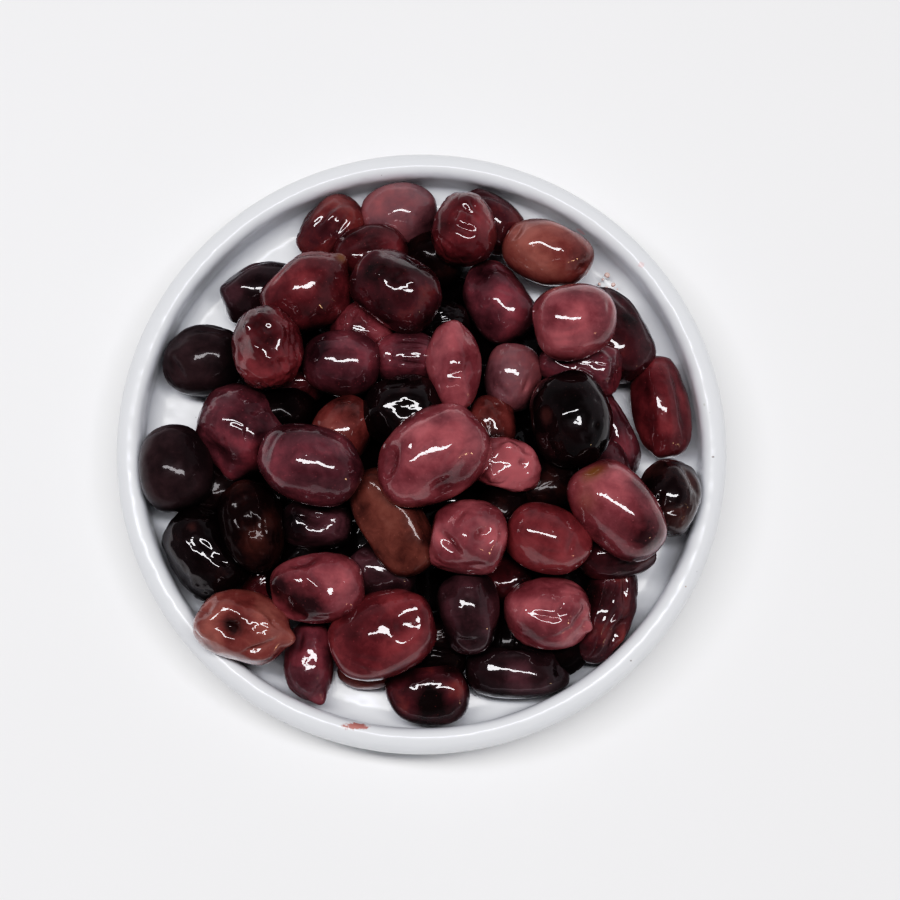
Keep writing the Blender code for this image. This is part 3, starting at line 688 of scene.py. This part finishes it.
def settle():
    """Lay the olives one by one on a grid of heights: (x, y, z, half length, half width, turn)."""
    axis = np.linspace(-GRID_REACH, GRID_REACH, round(2 * GRID_REACH / GRID_CELL) + 1)
    grid = np.meshgrid(axis, axis)
    radius = np.hypot(grid[0], grid[1])
    inside = dish_inside()
    bowl = np.interp(radius, inside[:, 0], inside[:, 1])
    within_wall = np.where(radius < WALL_RADIUS - DISH_GAP, bowl, FLOOR_HEIGHT)
    pile = np.where(radius < MOUND_RADIUS, mound_height(radius), 0.0)
    rests = []
    for number, olive in enumerate(OLIVES):
        on_floor = number < len(FLOOR_OLIVES)
        under = within_wall if on_floor else bowl
        turn = math.radians(olive.turn)
        height = DISH_HEIGHT
        for _ in range(SETTLE_ROUNDS):
            x, y, share = seen_place(olive.across * MILLIMETRE, olive.up * MILLIMETRE, height)
            half_length = olive.length * MILLIMETRE * share / 2
            half_width = olive.width * MILLIMETRE * share / 2
            if on_floor:
                x, y = tuck_in(x, y, half_length, half_width, turn)
            whole = half_thickness(grid, x, y, half_length, half_width, turn)
            soft = half_thickness(grid, x, y, half_length - SOFT_SKIN, half_width - SOFT_SKIN, turn)
            on_dish = np.nanmax(under + whole) + DISH_GAP
            on_pile = np.nanmax(pile + soft)
            height = (height + max(on_dish, on_pile)) / 2
        height = max(on_dish, on_pile)
        pile = np.fmax(pile, height + soft)
        rests.append((x, y, height, half_length, half_width, turn))
    return rests


RESTS = settle()
print(f"the top olive's middle is {1000 * RESTS[-1][2]:.1f} mm up")

# %% [markdown]
# The form of an olive
#
# An olive is a stone fruit: an egg that is a little fuller than an ellipse, on a stone that keeps
# its length, with a thin tough skin. In brine the flesh shrinks under the skin, so the skin
# dents, folds and wrinkles, mostly along the fruit. It could be sculpted by hand. Here the egg is
# a formula of two angles, and everything else is a small push along the skin's own direction:
# broad lumps, narrow wrinkles where a noise crosses zero, and the marks listed for each olive.

# %% Olive skin
AROUND_STEPS = 92
ALONG_STEPS = 62
TOP_CROWDING = 0.5
FULLNESS = 0.74
FACET_COUNT = 8
FACET_DEPTH = 0.22
FACET_EDGE = 0.6 * MILLIMETRE
PRESSED_SHARE = 0.9
EGG_SHAPE = 0.12
SHAPE_SEED = 11
LUMP_SIZE = 9.0 * MILLIMETRE
LUMP_RISE = 0.7 * MILLIMETRE
WRINKLE_CELL = np.array([4.6, 2.1, 2.1]) * MILLIMETRE
WRINKLE_DEPTH = 0.34 * MILLIMETRE
WRINKLE_WIDTH = 0.20
WRINKLE_PATCH = 7.0 * MILLIMETRE
PATCH_CONTRAST = 1.2
FINE_SHARE = 0.4
DRIFT = 0.7 * MILLIMETRE
DRIFT_SIZE = 3.0 * MILLIMETRE
WAVE_SIZE = 3.0 * MILLIMETRE
WAVE_RISE = 0.17 * MILLIMETRE
MARK_RISE = 1.3 * MILLIMETRE
MARK_TONE = 0.6
DIMPLE_CELL = 1.5 * MILLIMETRE
DIMPLE_DEPTH = 0.10 * MILLIMETRE
RIPENESS_CELL = 6.0 * MILLIMETRE
RIPENESS_SPREAD = 0.35

# No olive may stand above the highest point of the solids.
HIGHEST = CAD_BOX[1].z


def unit_egg():
    """Points on a ball of radius 1 with its long axis on X, most of them on the upper side.

    x is cos a. y and z are sin a, to a power under 1 that fills the ends out, times the sine and
    minus the cosine of b. b runs once round from below, with smaller steps near the top.
    """
    a = np.linspace(0.0, math.pi, ALONG_STEPS + 1)[:, None]
    round_share = 2.0 * math.pi * np.arange(AROUND_STEPS)[None, :] / AROUND_STEPS
    b = round_share + TOP_CROWDING * np.sin(round_share)
    ring = np.abs(np.sin(a)) ** FULLNESS
    return np.stack([np.cos(a) + 0.0 * b, ring * np.sin(b), -ring * np.cos(b)], axis=-1)


def press_flat(points, direction, depth):
    """Flatten the skin in one direction, down to a plane at a depth below its highest point.

    What stands out past the plane is pushed back by log(1 + exp(out)), which is nothing well below
    the plane and all of it well above, so that the flat part passes softly into the round.
    """
    height = points @ direction
    plane = height.max() - depth
    out = FACET_EDGE * np.logaddexp(0.0, (height - plane) / FACET_EDGE)
    return points - PRESSED_SHARE * out[..., None] * direction


def press_facets(points, amount, seed):
    """Flatten the skin in a few random directions, as neighbours and shrunken flesh do."""
    draw = np.random.default_rng(seed)
    for _ in range(FACET_COUNT):
        direction = draw.normal(size=3)
        direction /= np.linalg.norm(direction)
        reach = (points @ direction).max()
        points = press_flat(points, direction, reach * FACET_DEPTH * amount * draw.uniform(0.2, 1.0))
    return points


def skin_place(spot, half_length, half_width, turn, scale):
    """The point of the egg that shows at a spot's (across, up), or its side where that is beyond."""
    cosine, sine = math.cos(turn), math.sin(turn)
    across = spot.across * MILLIMETRE * scale
    up = spot.up * MILLIMETRE * scale
    along = (across * cosine + up * sine) / half_length
    aside = (up * cosine - across * sine) / half_width
    place = np.array([along, aside])
    place = place / max(1.0, np.hypot(*place))
    height = math.sqrt(max(0.0, 1.0 - place @ place))
    return np.array([place[0] * half_length, place[1] * half_width, height * half_width])


def press_cuts(points, cuts, half_length, half_width, turn, scale):
    """Flatten the skin at each cut, square to the way that the egg faces there."""
    for cut in cuts:
        direction = skin_place(cut, half_length, half_width, turn, scale)
        direction = direction / np.array([half_length, half_width, half_width]) ** 2
        direction /= np.linalg.norm(direction)
        points = press_flat(points, direction, cut.depth * MILLIMETRE)
    return points


def mark_weight(points, mark, half_length, half_width, turn, scale):
    """How much a mark acts at each point: exp of minus the squared distance over its reach.

    Along its angle the mark reaches over long, and every other way over size.
    """
    middle = skin_place(mark, half_length, half_width, turn, scale)
    heading = math.radians(mark.angle) - turn
    away = points - middle
    along = away[..., 0] * math.cos(heading) + away[..., 1] * math.sin(heading)
    aside = np.maximum(np.sum(away ** 2, axis=-1) - along ** 2, 0.0)
    size = mark.size * MILLIMETRE
    long = max(mark.long, mark.size) * MILLIMETRE
    return np.exp(-(along / long) ** 2 - aside / size ** 2)


def olive_skin(olive, rest, egg, seed):
    """Points of one olive where it lies, with its tone, from ripeness and from painted shade and sheen, and
    its scars on the same grid.

    The egg is the stretched unit egg, narrower towards one end by the share egg. It is pressed
    flat in places and then pushed outwards by a sum: lumps, less creases where a noise is near
    zero, exp(-(noise / width)^2), plus dimples, waves and marks. Each noise has its own seed.
    """
    x, y, height, half_length, half_width, turn = rest
    unit = unit_egg()
    narrow = 1.0 - egg * unit[..., :1]
    points = unit * np.array([half_length, half_width, half_width])
    points[..., 1:] *= narrow
    outward = points / np.array([half_length, half_width, half_width]) ** 2
    outward /= np.linalg.norm(outward, axis=-1, keepdims=True)
    scale = 2.0 * half_length / (olive.length * MILLIMETRE)
    cuts = [mark for mark in olive.marks if isinstance(mark, Cut)]
    marks = [mark for mark in olive.marks if isinstance(mark, Mark)]
    points = press_facets(points, olive.lump, seed + 7)
    points = press_cuts(points, cuts, half_length, half_width, turn, scale)
    push = LUMP_RISE * olive.lump * smooth_noise(points, LUMP_SIZE, seed)
    drifted = points + DRIFT * smooth_noise(points, DRIFT_SIZE, seed + 1)[..., None]
    patch = np.clip(0.5 + PATCH_CONTRAST * smooth_noise(points, WRINKLE_PATCH, seed + 2), 0.0, 1.0)
    crease = np.exp(-(smooth_noise(drifted, WRINKLE_CELL, seed + 3) / WRINKLE_WIDTH) ** 2)
    fine_crease = np.exp(-(smooth_noise(drifted, WRINKLE_CELL / 2, seed + 4) / WRINKLE_WIDTH) ** 2)
    push -= WRINKLE_DEPTH * olive.wrinkle * patch * (crease + FINE_SHARE * fine_crease)
    push += DIMPLE_DEPTH * (0.15 + olive.wrinkle) * smooth_noise(points, DIMPLE_CELL, seed + 5)
    push += WAVE_RISE * (0.25 + olive.wrinkle) * smooth_noise(points, WAVE_SIZE, seed + 8)
    ripeness_and_painted_light = olive.tone + RIPENESS_SPREAD * smooth_noise(points, RIPENESS_CELL, seed + 6)
    scar = np.zeros(ripeness_and_painted_light.shape)
    for mark in marks:
        weight = mark_weight(points, mark, half_length, half_width, turn, scale)
        push += MARK_RISE * mark.rise * weight
        ripeness_and_painted_light += MARK_TONE * mark.tone * weight
        scar += mark.scar * weight
    points = points + outward * push[..., None]
    cosine, sine = math.cos(turn), math.sin(turn)
    placed = np.stack([
        x + points[..., 0] * cosine - points[..., 1] * sine,
        y + points[..., 0] * sine + points[..., 1] * cosine,
        height + points[..., 2],
    ], axis=-1)
    placed[..., 2] -= max(0.0, placed[..., 2].max() - HIGHEST)
    return placed, ripeness_and_painted_light, scar


# %% [markdown]
# Olive skin as a material
#
# The skin is waxy and thin over dark flesh, and a film of brine makes it shine: sharp bright
# reflections from the wet film, a softer glow from the skin below. Ripe olives are unevenly
# coloured. Each kind has three tones, from its darkest to its lightest, and the ripeness that was
# worked out with the form, together with painted shade in some dents and hollows and on sides
# turned from the lamp, and a painted sheen round one olive's reflection, picks between them. On
# top come cloudy mottling, a few pale pores, and a grain of about a millimetre and a half that
# breaks the edges of the reflections up. On some olives most of the brine has run off, and these
# drained ones are much duller; the same dull copies of the wet skins also stand in for shade on
# olives deep in the gaps and under others.

# %% Kinds of skin
# The brine is the weight of the wet film, the coat: 1 where it is whole, less where it has drained,
# and less where a duller copy of a skin stands in for the shade on olives in gaps and under others.
Skin = namedtuple("Skin", "deep body light brine", defaults=(1.0,))
SKINS = {
    "ink": Skin("0d0607", "1c0f11", "3f2725"),
    "aubergine": Skin("150d10", "2f1e21", "503439"),
    "wine": Skin("180c0d", "442126", "6f3735"),
    "burgundy": Skin("240f12", "532529", "7e3d40"),
    "plum": Skin("291419", "573137", "84444b"),
    "rose": Skin("2f1519", "6e393e", "95575b"),
    "russet": Skin("2a1312", "6b3936", "8a574f"),
    "dusty": Skin("341c21", "6d4a4e", "8c5557"),
    # The drained ink and russet skins are partly painted shade: duller copies that keep the lamp's reflection
    # off olives deep in gaps and under others.
    "drained_and_shaded_ink": Skin("0c0506", "1c0d0e", "3e231f", 0.2),
    "drained_aubergine": Skin("150f11", "281d1f", "3c2d2f", 0.25),
    "drained_and_shaded_russet": Skin("271413", "643b34", "7e5047", 0.3),
}

# Pores, beads of brine and wet patches fade from one value to the other. Pores and beads are
# measured in shares of their spacing, and a bead rises so many times as high as the grain.
SCAR_COLOUR = "6e4c26"
MOTTLE_SIZE = 3.0 * MILLIMETRE
MOTTLE_TONE = 0.36
CLOUD_SIZE = 0.8 * MILLIMETRE
SLEEKEST, DULLEST = 0.22, 0.42
PORE_SPACING = 1.5 * MILLIMETRE
PORE_CORE, PORE_EDGE = 0.06, 0.16
PORE_STRENGTH = 0.4
GRAIN_SIZE = 1.4 * MILLIMETRE
GRAIN_HEIGHT = 0.12 * MILLIMETRE
GRAIN_STRENGTH = 0.3
BEAD_SPACING = 2.4 * MILLIMETRE
BEAD_EDGE = 0.12
BEAD_RISE = 1.6
WET_FROM, WET_TO = 0.48, 0.58


def olive_material(name, skin):
    """Wet olive skin: three tones by ripeness and by painted shade and sheen, mottled, with pores, a scar
    tone and a brine film.
    """
    material, tree = new_material(f"wet_olive_skin_{name}")
    place = add_node(tree, "TexCoord").outputs["Object"]
    ripeness_and_painted_light = add_node(tree, "Attribute", attribute_name="ripeness_and_painted_light").outputs["Fac"]
    scar = add_node(tree, "Attribute", attribute_name="scar").outputs["Fac"]
    mottle = add_node(tree, "TexNoise", {
        "Vector": place, "Scale": 1.0 / MOTTLE_SIZE, "Detail": 4.0, "Roughness": 0.6, "Distortion": 0.4,
    })
    mottled = add_node(tree, "MapRange", {
        "Value": mottle.outputs["Fac"], "To Min": -MOTTLE_TONE, "To Max": MOTTLE_TONE,
    })
    tone = add_node(tree, "Math", {0: ripeness_and_painted_light, 1: mottled.outputs["Result"]}, operation="ADD").outputs[0]
    lower = add_node(tree, "MapRange", {"Value": tone, "From Min": 0.0, "From Max": 0.5})
    upper = add_node(tree, "MapRange", {"Value": tone, "From Min": 0.5, "From Max": 1.0})
    pore = add_node(tree, "TexVoronoi", {"Vector": place, "Scale": 1.0 / PORE_SPACING})
    pore_mask = add_node(tree, "MapRange", {
        "Value": pore.outputs["Distance"], "From Min": PORE_CORE, "From Max": PORE_EDGE,
        "To Min": PORE_STRENGTH, "To Max": 0.0,
    })
    layers = (
        (lower.outputs["Result"], skin.body), (upper.outputs["Result"], skin.light),
        (scar, SCAR_COLOUR), (pore_mask.outputs["Result"], skin.light),
    )
    colour = linear(skin.deep)
    for share, layer_colour in layers:
        colour = add_node(tree, "Mix", {
            MIX_FACTOR: share, MIX_A: colour, MIX_B: linear(layer_colour),
        }, data_type="RGBA").outputs[MIX_RESULT]
    cloud = add_node(tree, "TexNoise", {"Vector": place, "Scale": 1.0 / CLOUD_SIZE, "Detail": 2.0})
    roughness = add_node(tree, "MapRange", {
        "Value": cloud.outputs["Fac"], "To Min": SLEEKEST, "To Max": DULLEST,
    })
    grain = add_node(tree, "TexNoise", {"Vector": place, "Scale": 1.0 / GRAIN_SIZE, "Detail": 2.0})
    bead = add_node(tree, "TexVoronoi", {"Vector": place, "Scale": 1.0 / BEAD_SPACING})
    bead_height = add_node(tree, "MapRange", {
        "Value": bead.outputs["Distance"], "From Min": 0.0, "From Max": BEAD_EDGE,
        "To Min": BEAD_RISE, "To Max": 0.0,
    }, interpolation_type="SMOOTHSTEP")
    wet_spots = add_node(tree, "MapRange", {
        "Value": mottle.outputs["Fac"], "From Min": WET_FROM, "From Max": WET_TO,
    })
    relief = add_node(tree, "Math", {
        0: bead_height.outputs["Result"], 1: wet_spots.outputs["Result"], 2: grain.outputs["Fac"],
    }, operation="MULTIPLY_ADD")
    bump = add_node(tree, "Bump", {
        "Height": relief.outputs[0], "Strength": GRAIN_STRENGTH, "Distance": GRAIN_HEIGHT,
    })
    shader = add_node(tree, "BsdfPrincipled", {
        "Base Color": colour, "Roughness": roughness.outputs["Result"], "IOR": 1.45,
        "Specular IOR Level": 0.06, "Coat Weight": skin.brine, "Coat Roughness": 0.03, "Coat IOR": 1.5,
        "Normal": bump.outputs["Normal"], "Coat Normal": bump.outputs["Normal"],
    })
    add_node(tree, "OutputMaterial", {"Surface": shader.outputs["BSDF"]})
    return material


# %% Make the olives, one piece for each kind
# Olives that only show as a back in a gap, each with the height of its middle in metres. Their
# dark, dull skins also paint the shade of the gaps.
DEEP_OLIVES = [
    (Olive(-53.5, -11.5, 18, 15, 10, "drained_and_shaded_ink", 0.2, 0.5), 0.0165),
    (Olive(-33, -33, 20, 15, 60, "drained_and_shaded_ink", 0.2, 0.5), 0.0165),
    (Olive(-36, 8, 18, 15, 0, "drained_and_shaded_ink", 0.2, 0.5), 0.022),
    (Olive(3, -56, 17, 14, 0, "drained_and_shaded_ink", 0.2, 0.5), 0.0155),
    (Olive(22, -52, 19, 14, 80, "drained_and_shaded_ink", 0.2, 0.5), 0.0150),
    (Olive(38, -53, 15, 13, 60, "drained_and_shaded_ink", 0.2, 0.5), 0.0145),
    (Olive(36, -36, 20, 15, 80, "drained_and_shaded_ink", 0.2, 0.5), 0.0165),
    (Olive(47, -8, 20, 15, 80, "plum", 0.4, 0.5), 0.0175),
]

# Each olive has ten seeds of its own for its noises, counted on from the first.
FIRST_SEED = 100
SEEDS_EACH = 10


def deep_rest(olive, height):
    """Where such an olive lies, seen past the others at its own height."""
    x, y, share = seen_place(olive.across * MILLIMETRE, olive.up * MILLIMETRE, height)
    size = share * MILLIMETRE / 2
    return x, y, height, olive.length * size, olive.width * size, math.radians(olive.turn)


def make_olives():
    """Every olive's skin, joined by kind of skin."""
    olives = OLIVES + [olive for olive, _ in DEEP_OLIVES]
    rests = RESTS + [deep_rest(*deep) for deep in DEEP_OLIVES]
    eggs = np.random.default_rng(SHAPE_SEED).uniform(-EGG_SHAPE, EGG_SHAPE, len(olives))
    for name, skin in SKINS.items():
        chosen = [i for i, olive in enumerate(olives) if olive.skin == name]
        made = [olive_skin(olives[i], rests[i], eggs[i], FIRST_SEED + SEEDS_EACH * i) for i in chosen]
        grids, ripeness_and_painted_light, scars = zip(*made)
        fields = {"ripeness_and_painted_light": ripeness_and_painted_light, "scar": scars}
        make_piece(f"olives_{name}", grids, fields, olive_material(name, skin), "olives")


make_olives()

# %% [markdown]
# The core of the heap
#
# Between the olives that show lie others that don't, down in the dark. They could all be made,
# but only a glint of them is ever seen. So the heap has a core: the mound on which the olives
# were laid, with olive-sized domes on it, in the darkest skin, which also paints the shade deep
# in the heap.

# %% The core
CORE_ROWS = 40
CORE_COLUMNS = 160
CORE_DOME_SPACING = 15.0 * MILLIMETRE
CORE_DOME_RISE = 3.0 * MILLIMETRE
CORE_SEED = 41
CORE_SHADED_TONE = 0.2


def make_core():
    """A dome with lumps, closed below by a flat floor just clear of the dish.

    The height is the mound's, less half the lumps' rise, plus a noise of the olives' spacing.
    """
    bottom = FLOOR_HEIGHT + DISH_GAP
    radius = np.linspace(0.0, MOUND_RADIUS, CORE_ROWS)
    dome = turned(np.stack([radius, mound_height(radius)], axis=-1), CORE_COLUMNS)
    lump = smooth_noise(dome, CORE_DOME_SPACING / 2, CORE_SEED) - 1.0
    fade = 1.0 - (radius / MOUND_RADIUS)[:, None] ** 4
    dome[..., 2] += CORE_DOME_RISE * lump * fade
    dome[..., 2] = np.maximum(dome[..., 2], bottom + MILLIMETRE * fade)
    floor = turned(np.array([(MOUND_RADIUS, bottom), (0.0, bottom)]), CORE_COLUMNS)
    points = np.concatenate([dome, floor])[::-1]
    fields = {"ripeness_and_painted_light": [np.full(points.shape[:2], CORE_SHADED_TONE)], "scar": [np.zeros(points.shape[:2])]}
    skin = bpy.data.materials["wet_olive_skin_ink"]
    make_piece("olive_core", [points], fields, skin, "olives")


make_core()

# %% [markdown]
# Crumbs of flesh
#
# Where olives rubbed on the rim, a few crumbs of their flesh are left on the glaze at the upper
# right. They are tiny, so each is a small lumpy ball of under a hundred faces.

# %% Crumbs on the dish
Crumb = namedtuple("Crumb", "across up height size")
CRUMBS = [
    Crumb(48.3, 43.9, 12.0, 1.4), Crumb(49.9, 41.4, 12.0, 1.2), Crumb(47.2, 42.8, 10.0, 0.7),
    Crumb(48.2, 40.4, 9.5, 1.1), Crumb(46.3, 41.6, 9.0, 0.8), Crumb(51.0, 40.2, 11.0, 0.5),
]
CRUMB_ROWS = 9
CRUMB_COLUMNS = 12
CRUMB_LUMP = 0.7
CRUMB_LUMP_RISE = 0.35
CRUMB_SEED = 900
FIBRES_PER_METRE = 1500.0


def dried_flesh():
    """Dried olive flesh: matt, pinkish beige, with darker fibres."""
    material, tree = new_material("dried_olive_flesh")
    place = add_node(tree, "TexCoord").outputs["Object"]
    fibre = add_node(tree, "TexNoise", {"Vector": place, "Scale": FIBRES_PER_METRE, "Detail": 2.0})
    colour = add_node(tree, "Mix", {
        MIX_FACTOR: fibre.outputs["Fac"], MIX_A: linear("c8958a"), MIX_B: linear("eddcd3"),
    }, data_type="RGBA").outputs[MIX_RESULT]
    shader = add_node(tree, "BsdfPrincipled", {"Base Color": colour, "Roughness": 0.55})
    add_node(tree, "OutputMaterial", {"Surface": shader.outputs["BSDF"]})
    return material


def crumb_skin(crumb, seed):
    """A ball whose radius goes up and down with noise, at the crumb's seen place and height."""
    a = np.linspace(0.0, math.pi, CRUMB_ROWS)[:, None]
    b = np.linspace(0.0, 2.0 * math.pi, CRUMB_COLUMNS, endpoint=False)[None, :]
    ball = np.stack([np.sin(a) * np.cos(b), np.sin(a) * np.sin(b), np.cos(a) + 0.0 * b], axis=-1)
    lumpy = 1.0 + CRUMB_LUMP_RISE * smooth_noise(ball, CRUMB_LUMP, seed)
    radius = 0.5 * crumb.size * MILLIMETRE * lumpy
    x, y, _ = seen_place(crumb.across * MILLIMETRE, crumb.up * MILLIMETRE, crumb.height * MILLIMETRE)
    return np.array([x, y, crumb.height * MILLIMETRE]) + ball * radius[..., None]


crumb_grids = [crumb_skin(crumb, CRUMB_SEED + i) for i, crumb in enumerate(CRUMBS)]
make_piece("crumbs_of_flesh", crumb_grids, {}, dried_flesh(), "olives")

# %% [markdown]
# The stage
#
# The photo is lit by a long tube lamp overhead and a small warm lamp low on the right, and cut out
# on pale grey. So the floor is plain and pale, and the tube is a long narrow panel whose
# reflection runs over every olive. The room itself fills the shadows: pale walls and ceiling,
# brighter on the right and at the back, and dark straight overhead, where the camera is. A studio
# of large soft panels would be simpler, but on wet skin its reflections would be broad and grey.

# %% Floor
FLOOR_HALF_SIZE = 4.0


def matt_board():
    """Matt white painted board: even, with a faint cloudiness."""
    material, tree = new_material("matt_white_board")
    place = add_node(tree, "TexCoord").outputs["Object"]
    cloud = add_node(tree, "TexNoise", {"Vector": place, "Scale": 8.0})
    colour = add_node(tree, "Mix", {
        MIX_FACTOR: cloud.outputs["Fac"], MIX_A: linear("eeeeed"), MIX_B: linear("f1f1f0"),
    }, data_type="RGBA").outputs[MIX_RESULT]
    shader = add_node(tree, "BsdfPrincipled", {
        "Base Color": colour, "Roughness": 0.9, "Specular IOR Level": 0.2,
    })
    add_node(tree, "OutputMaterial", {"Surface": shader.outputs["BSDF"]})
    return material


floor_mesh = bpy.data.meshes.new("floor")
corner_signs = ((-1, -1), (1, -1), (1, 1), (-1, 1))
floor_corners = [(x * FLOOR_HALF_SIZE, y * FLOOR_HALF_SIZE, 0.0) for x, y in corner_signs]
floor_mesh.from_pydata(floor_corners, [], [(0, 1, 2, 3)])
floor_mesh.materials.append(matt_board())
floor = bpy.data.objects.new("floor", floor_mesh)
bpy.context.collection.objects.link(floor)

# %% Lamps
# A lamp with a turn hangs level and is turned so many degrees, and one without is aimed at the dish.
Lamp = namedtuple("Lamp", "name place size power colour turn")
LAMPS = [
    Lamp("tube", (-0.12, 0.03, 1.20), (1.4, 0.16), 15.4, "fdfcff", -8),
    Lamp("warm", (0.75, -0.55, 0.30), (0.06, 0.06), 0.12, "ffd9a8", None),
]


def add_lamp(lamp):
    """A rectangular panel of light, hung level or aimed at the middle of the dish."""
    light = bpy.data.lights.new(lamp.name, "AREA")
    light.shape = "RECTANGLE"
    light.size, light.size_y = lamp.size
    light.energy = lamp.power
    light.color = linear(lamp.colour)[:3]
    holder = bpy.data.objects.new(lamp.name, light)
    holder.location = lamp.place
    if lamp.turn is None:
        aim = Vector((0.0, 0.0, DISH_HEIGHT)) - Vector(lamp.place)
        holder.rotation_euler = aim.to_track_quat("-Z", "Y").to_euler()
    else:
        holder.rotation_euler = (0.0, 0.0, math.radians(lamp.turn))
    bpy.context.collection.objects.link(holder)


for lamp in LAMPS:
    add_lamp(lamp)
print(len(LAMPS), "lamps")

# %% Light from the room
WALL_LIGHT = 0.31
CEILING_LIGHT = 0.27
CEILING_FROM, CEILING_TO = 0.02, 0.25
OVERHEAD_SHARE = 0.28
OVERHEAD_FROM, OVERHEAD_TO = 0.45, 0.8
RIGHT_SHARE = 0.4
BACK_SHARE = 0.25


def add_room():
    """Pale walls and ceiling, dark straight overhead, where the camera is.

    For light from a direction (x, y, z), the strength is a smooth step over z from the walls to the
    ceiling, times 1 + right share * x + back share * y, times a smooth step over z that darkens
    what is overhead.
    """
    world = bpy.data.worlds.new("room")
    world.use_nodes = True
    tree = world.node_tree
    tree.nodes.clear()
    direction = add_node(tree, "TexCoord").outputs["Generated"]
    parts = add_node(tree, "SeparateXYZ", {0: direction})
    upright = add_node(tree, "MapRange", {
        "Value": parts.outputs["Z"], "From Min": CEILING_FROM, "From Max": CEILING_TO,
        "To Min": WALL_LIGHT, "To Max": CEILING_LIGHT,
    }, interpolation_type="SMOOTHSTEP")
    overhead = add_node(tree, "MapRange", {
        "Value": parts.outputs["Z"], "From Min": OVERHEAD_FROM, "From Max": OVERHEAD_TO,
        "To Min": 1.0, "To Max": OVERHEAD_SHARE,
    }, interpolation_type="SMOOTHSTEP")
    sides = add_node(tree, "Math", {
        0: parts.outputs["X"], 1: RIGHT_SHARE, 2: 1.0,
    }, operation="MULTIPLY_ADD")
    sides = add_node(tree, "Math", {
        0: parts.outputs["Y"], 1: BACK_SHARE, 2: sides.outputs[0],
    }, operation="MULTIPLY_ADD")
    strength = add_node(tree, "Math", {
        0: upright.outputs["Result"], 1: sides.outputs[0],
    }, operation="MULTIPLY")
    strength = add_node(tree, "Math", {
        0: strength.outputs[0], 1: overhead.outputs["Result"],
    }, operation="MULTIPLY")
    room = add_node(tree, "Background", {"Color": linear("f7f9ff"), "Strength": strength.outputs[0]})
    add_node(tree, "OutputWorld", {"Surface": room.outputs["Background"]})
    bpy.context.scene.world = world


add_room()
print("room:", len(bpy.context.scene.world.node_tree.nodes), "nodes")

# %% [markdown]
# The camera's own contrast
#
# A camera doesn't store light as it is. It darkens the darks a little and lifts the light tones,
# along a curve like a lying S. The colour management has such a curve, over linear light. The
# olives keep their true tones, and the picture gets the depth of the photo.

# %% Contrast curve
CONTRAST = (
    (0.012, 0.0035), (0.03, 0.0145), (0.07, 0.054), (0.18, 0.19), (0.3, 0.38),
    (0.45, 0.57), (0.6, 0.70), (0.75, 0.80), (0.9, 0.9),
)
WHOLE_CURVE = 3
view = bpy.context.scene.view_settings
view.view_transform = "Standard"
view.use_curve_mapping = True
for light_in, light_out in CONTRAST:
    view.curve_mapping.curves[WHOLE_CURVE].points.new(light_in, light_out)
view.curve_mapping.update()
print(len(CONTRAST), "points on the contrast curve")

# %% [markdown]
# The camera
#
# The rim shows as an ellipse that is 0.983 as high as it is wide, which puts the eye about 79
# degrees up. It is 0.55 m away, as when a camera is held over a table, and the lens is as long as
# it takes to see the width of the photo. The middle of the dish isn't the middle of the picture,
# so the lens is shifted. Turning the camera would centre the dish too, but bend its ellipse.

# %% Camera
SENSOR_WIDTH = 36.0
PHOTO_SIDE = 900.0
MILLIMETRES_PER_PIXEL = 0.2605
VIEW_WIDTH = MILLIMETRES_PER_PIXEL * MILLIMETRE * PHOTO_SIDE
DISH_MIDDLE_COLUMN = 421.5
DISH_MIDDLE_ROW = 443.6
camera_data = bpy.data.cameras.new("camera")
camera_data.sensor_width = SENSOR_WIDTH
camera_data.lens = SENSOR_WIDTH * EYE_DISTANCE / VIEW_WIDTH
camera_data.shift_x = (PHOTO_SIDE / 2 - DISH_MIDDLE_COLUMN) / PHOTO_SIDE
camera_data.shift_y = (DISH_MIDDLE_ROW - PHOTO_SIDE / 2) / PHOTO_SIDE
camera = bpy.data.objects.new("camera", camera_data)
back = Vector((0.0, -math.cos(EYE_ELEVATION), math.sin(EYE_ELEVATION)))
camera.location = Vector((0.0, 0.0, DISH_HEIGHT)) + back * EYE_DISTANCE
camera.rotation_euler = (-back).to_track_quat("-Z", "Y").to_euler()
bpy.context.collection.objects.link(camera)
bpy.context.scene.camera = camera
print(f"lens {camera_data.lens:.1f} mm, {math.degrees(EYE_ELEVATION):.0f} degrees up")
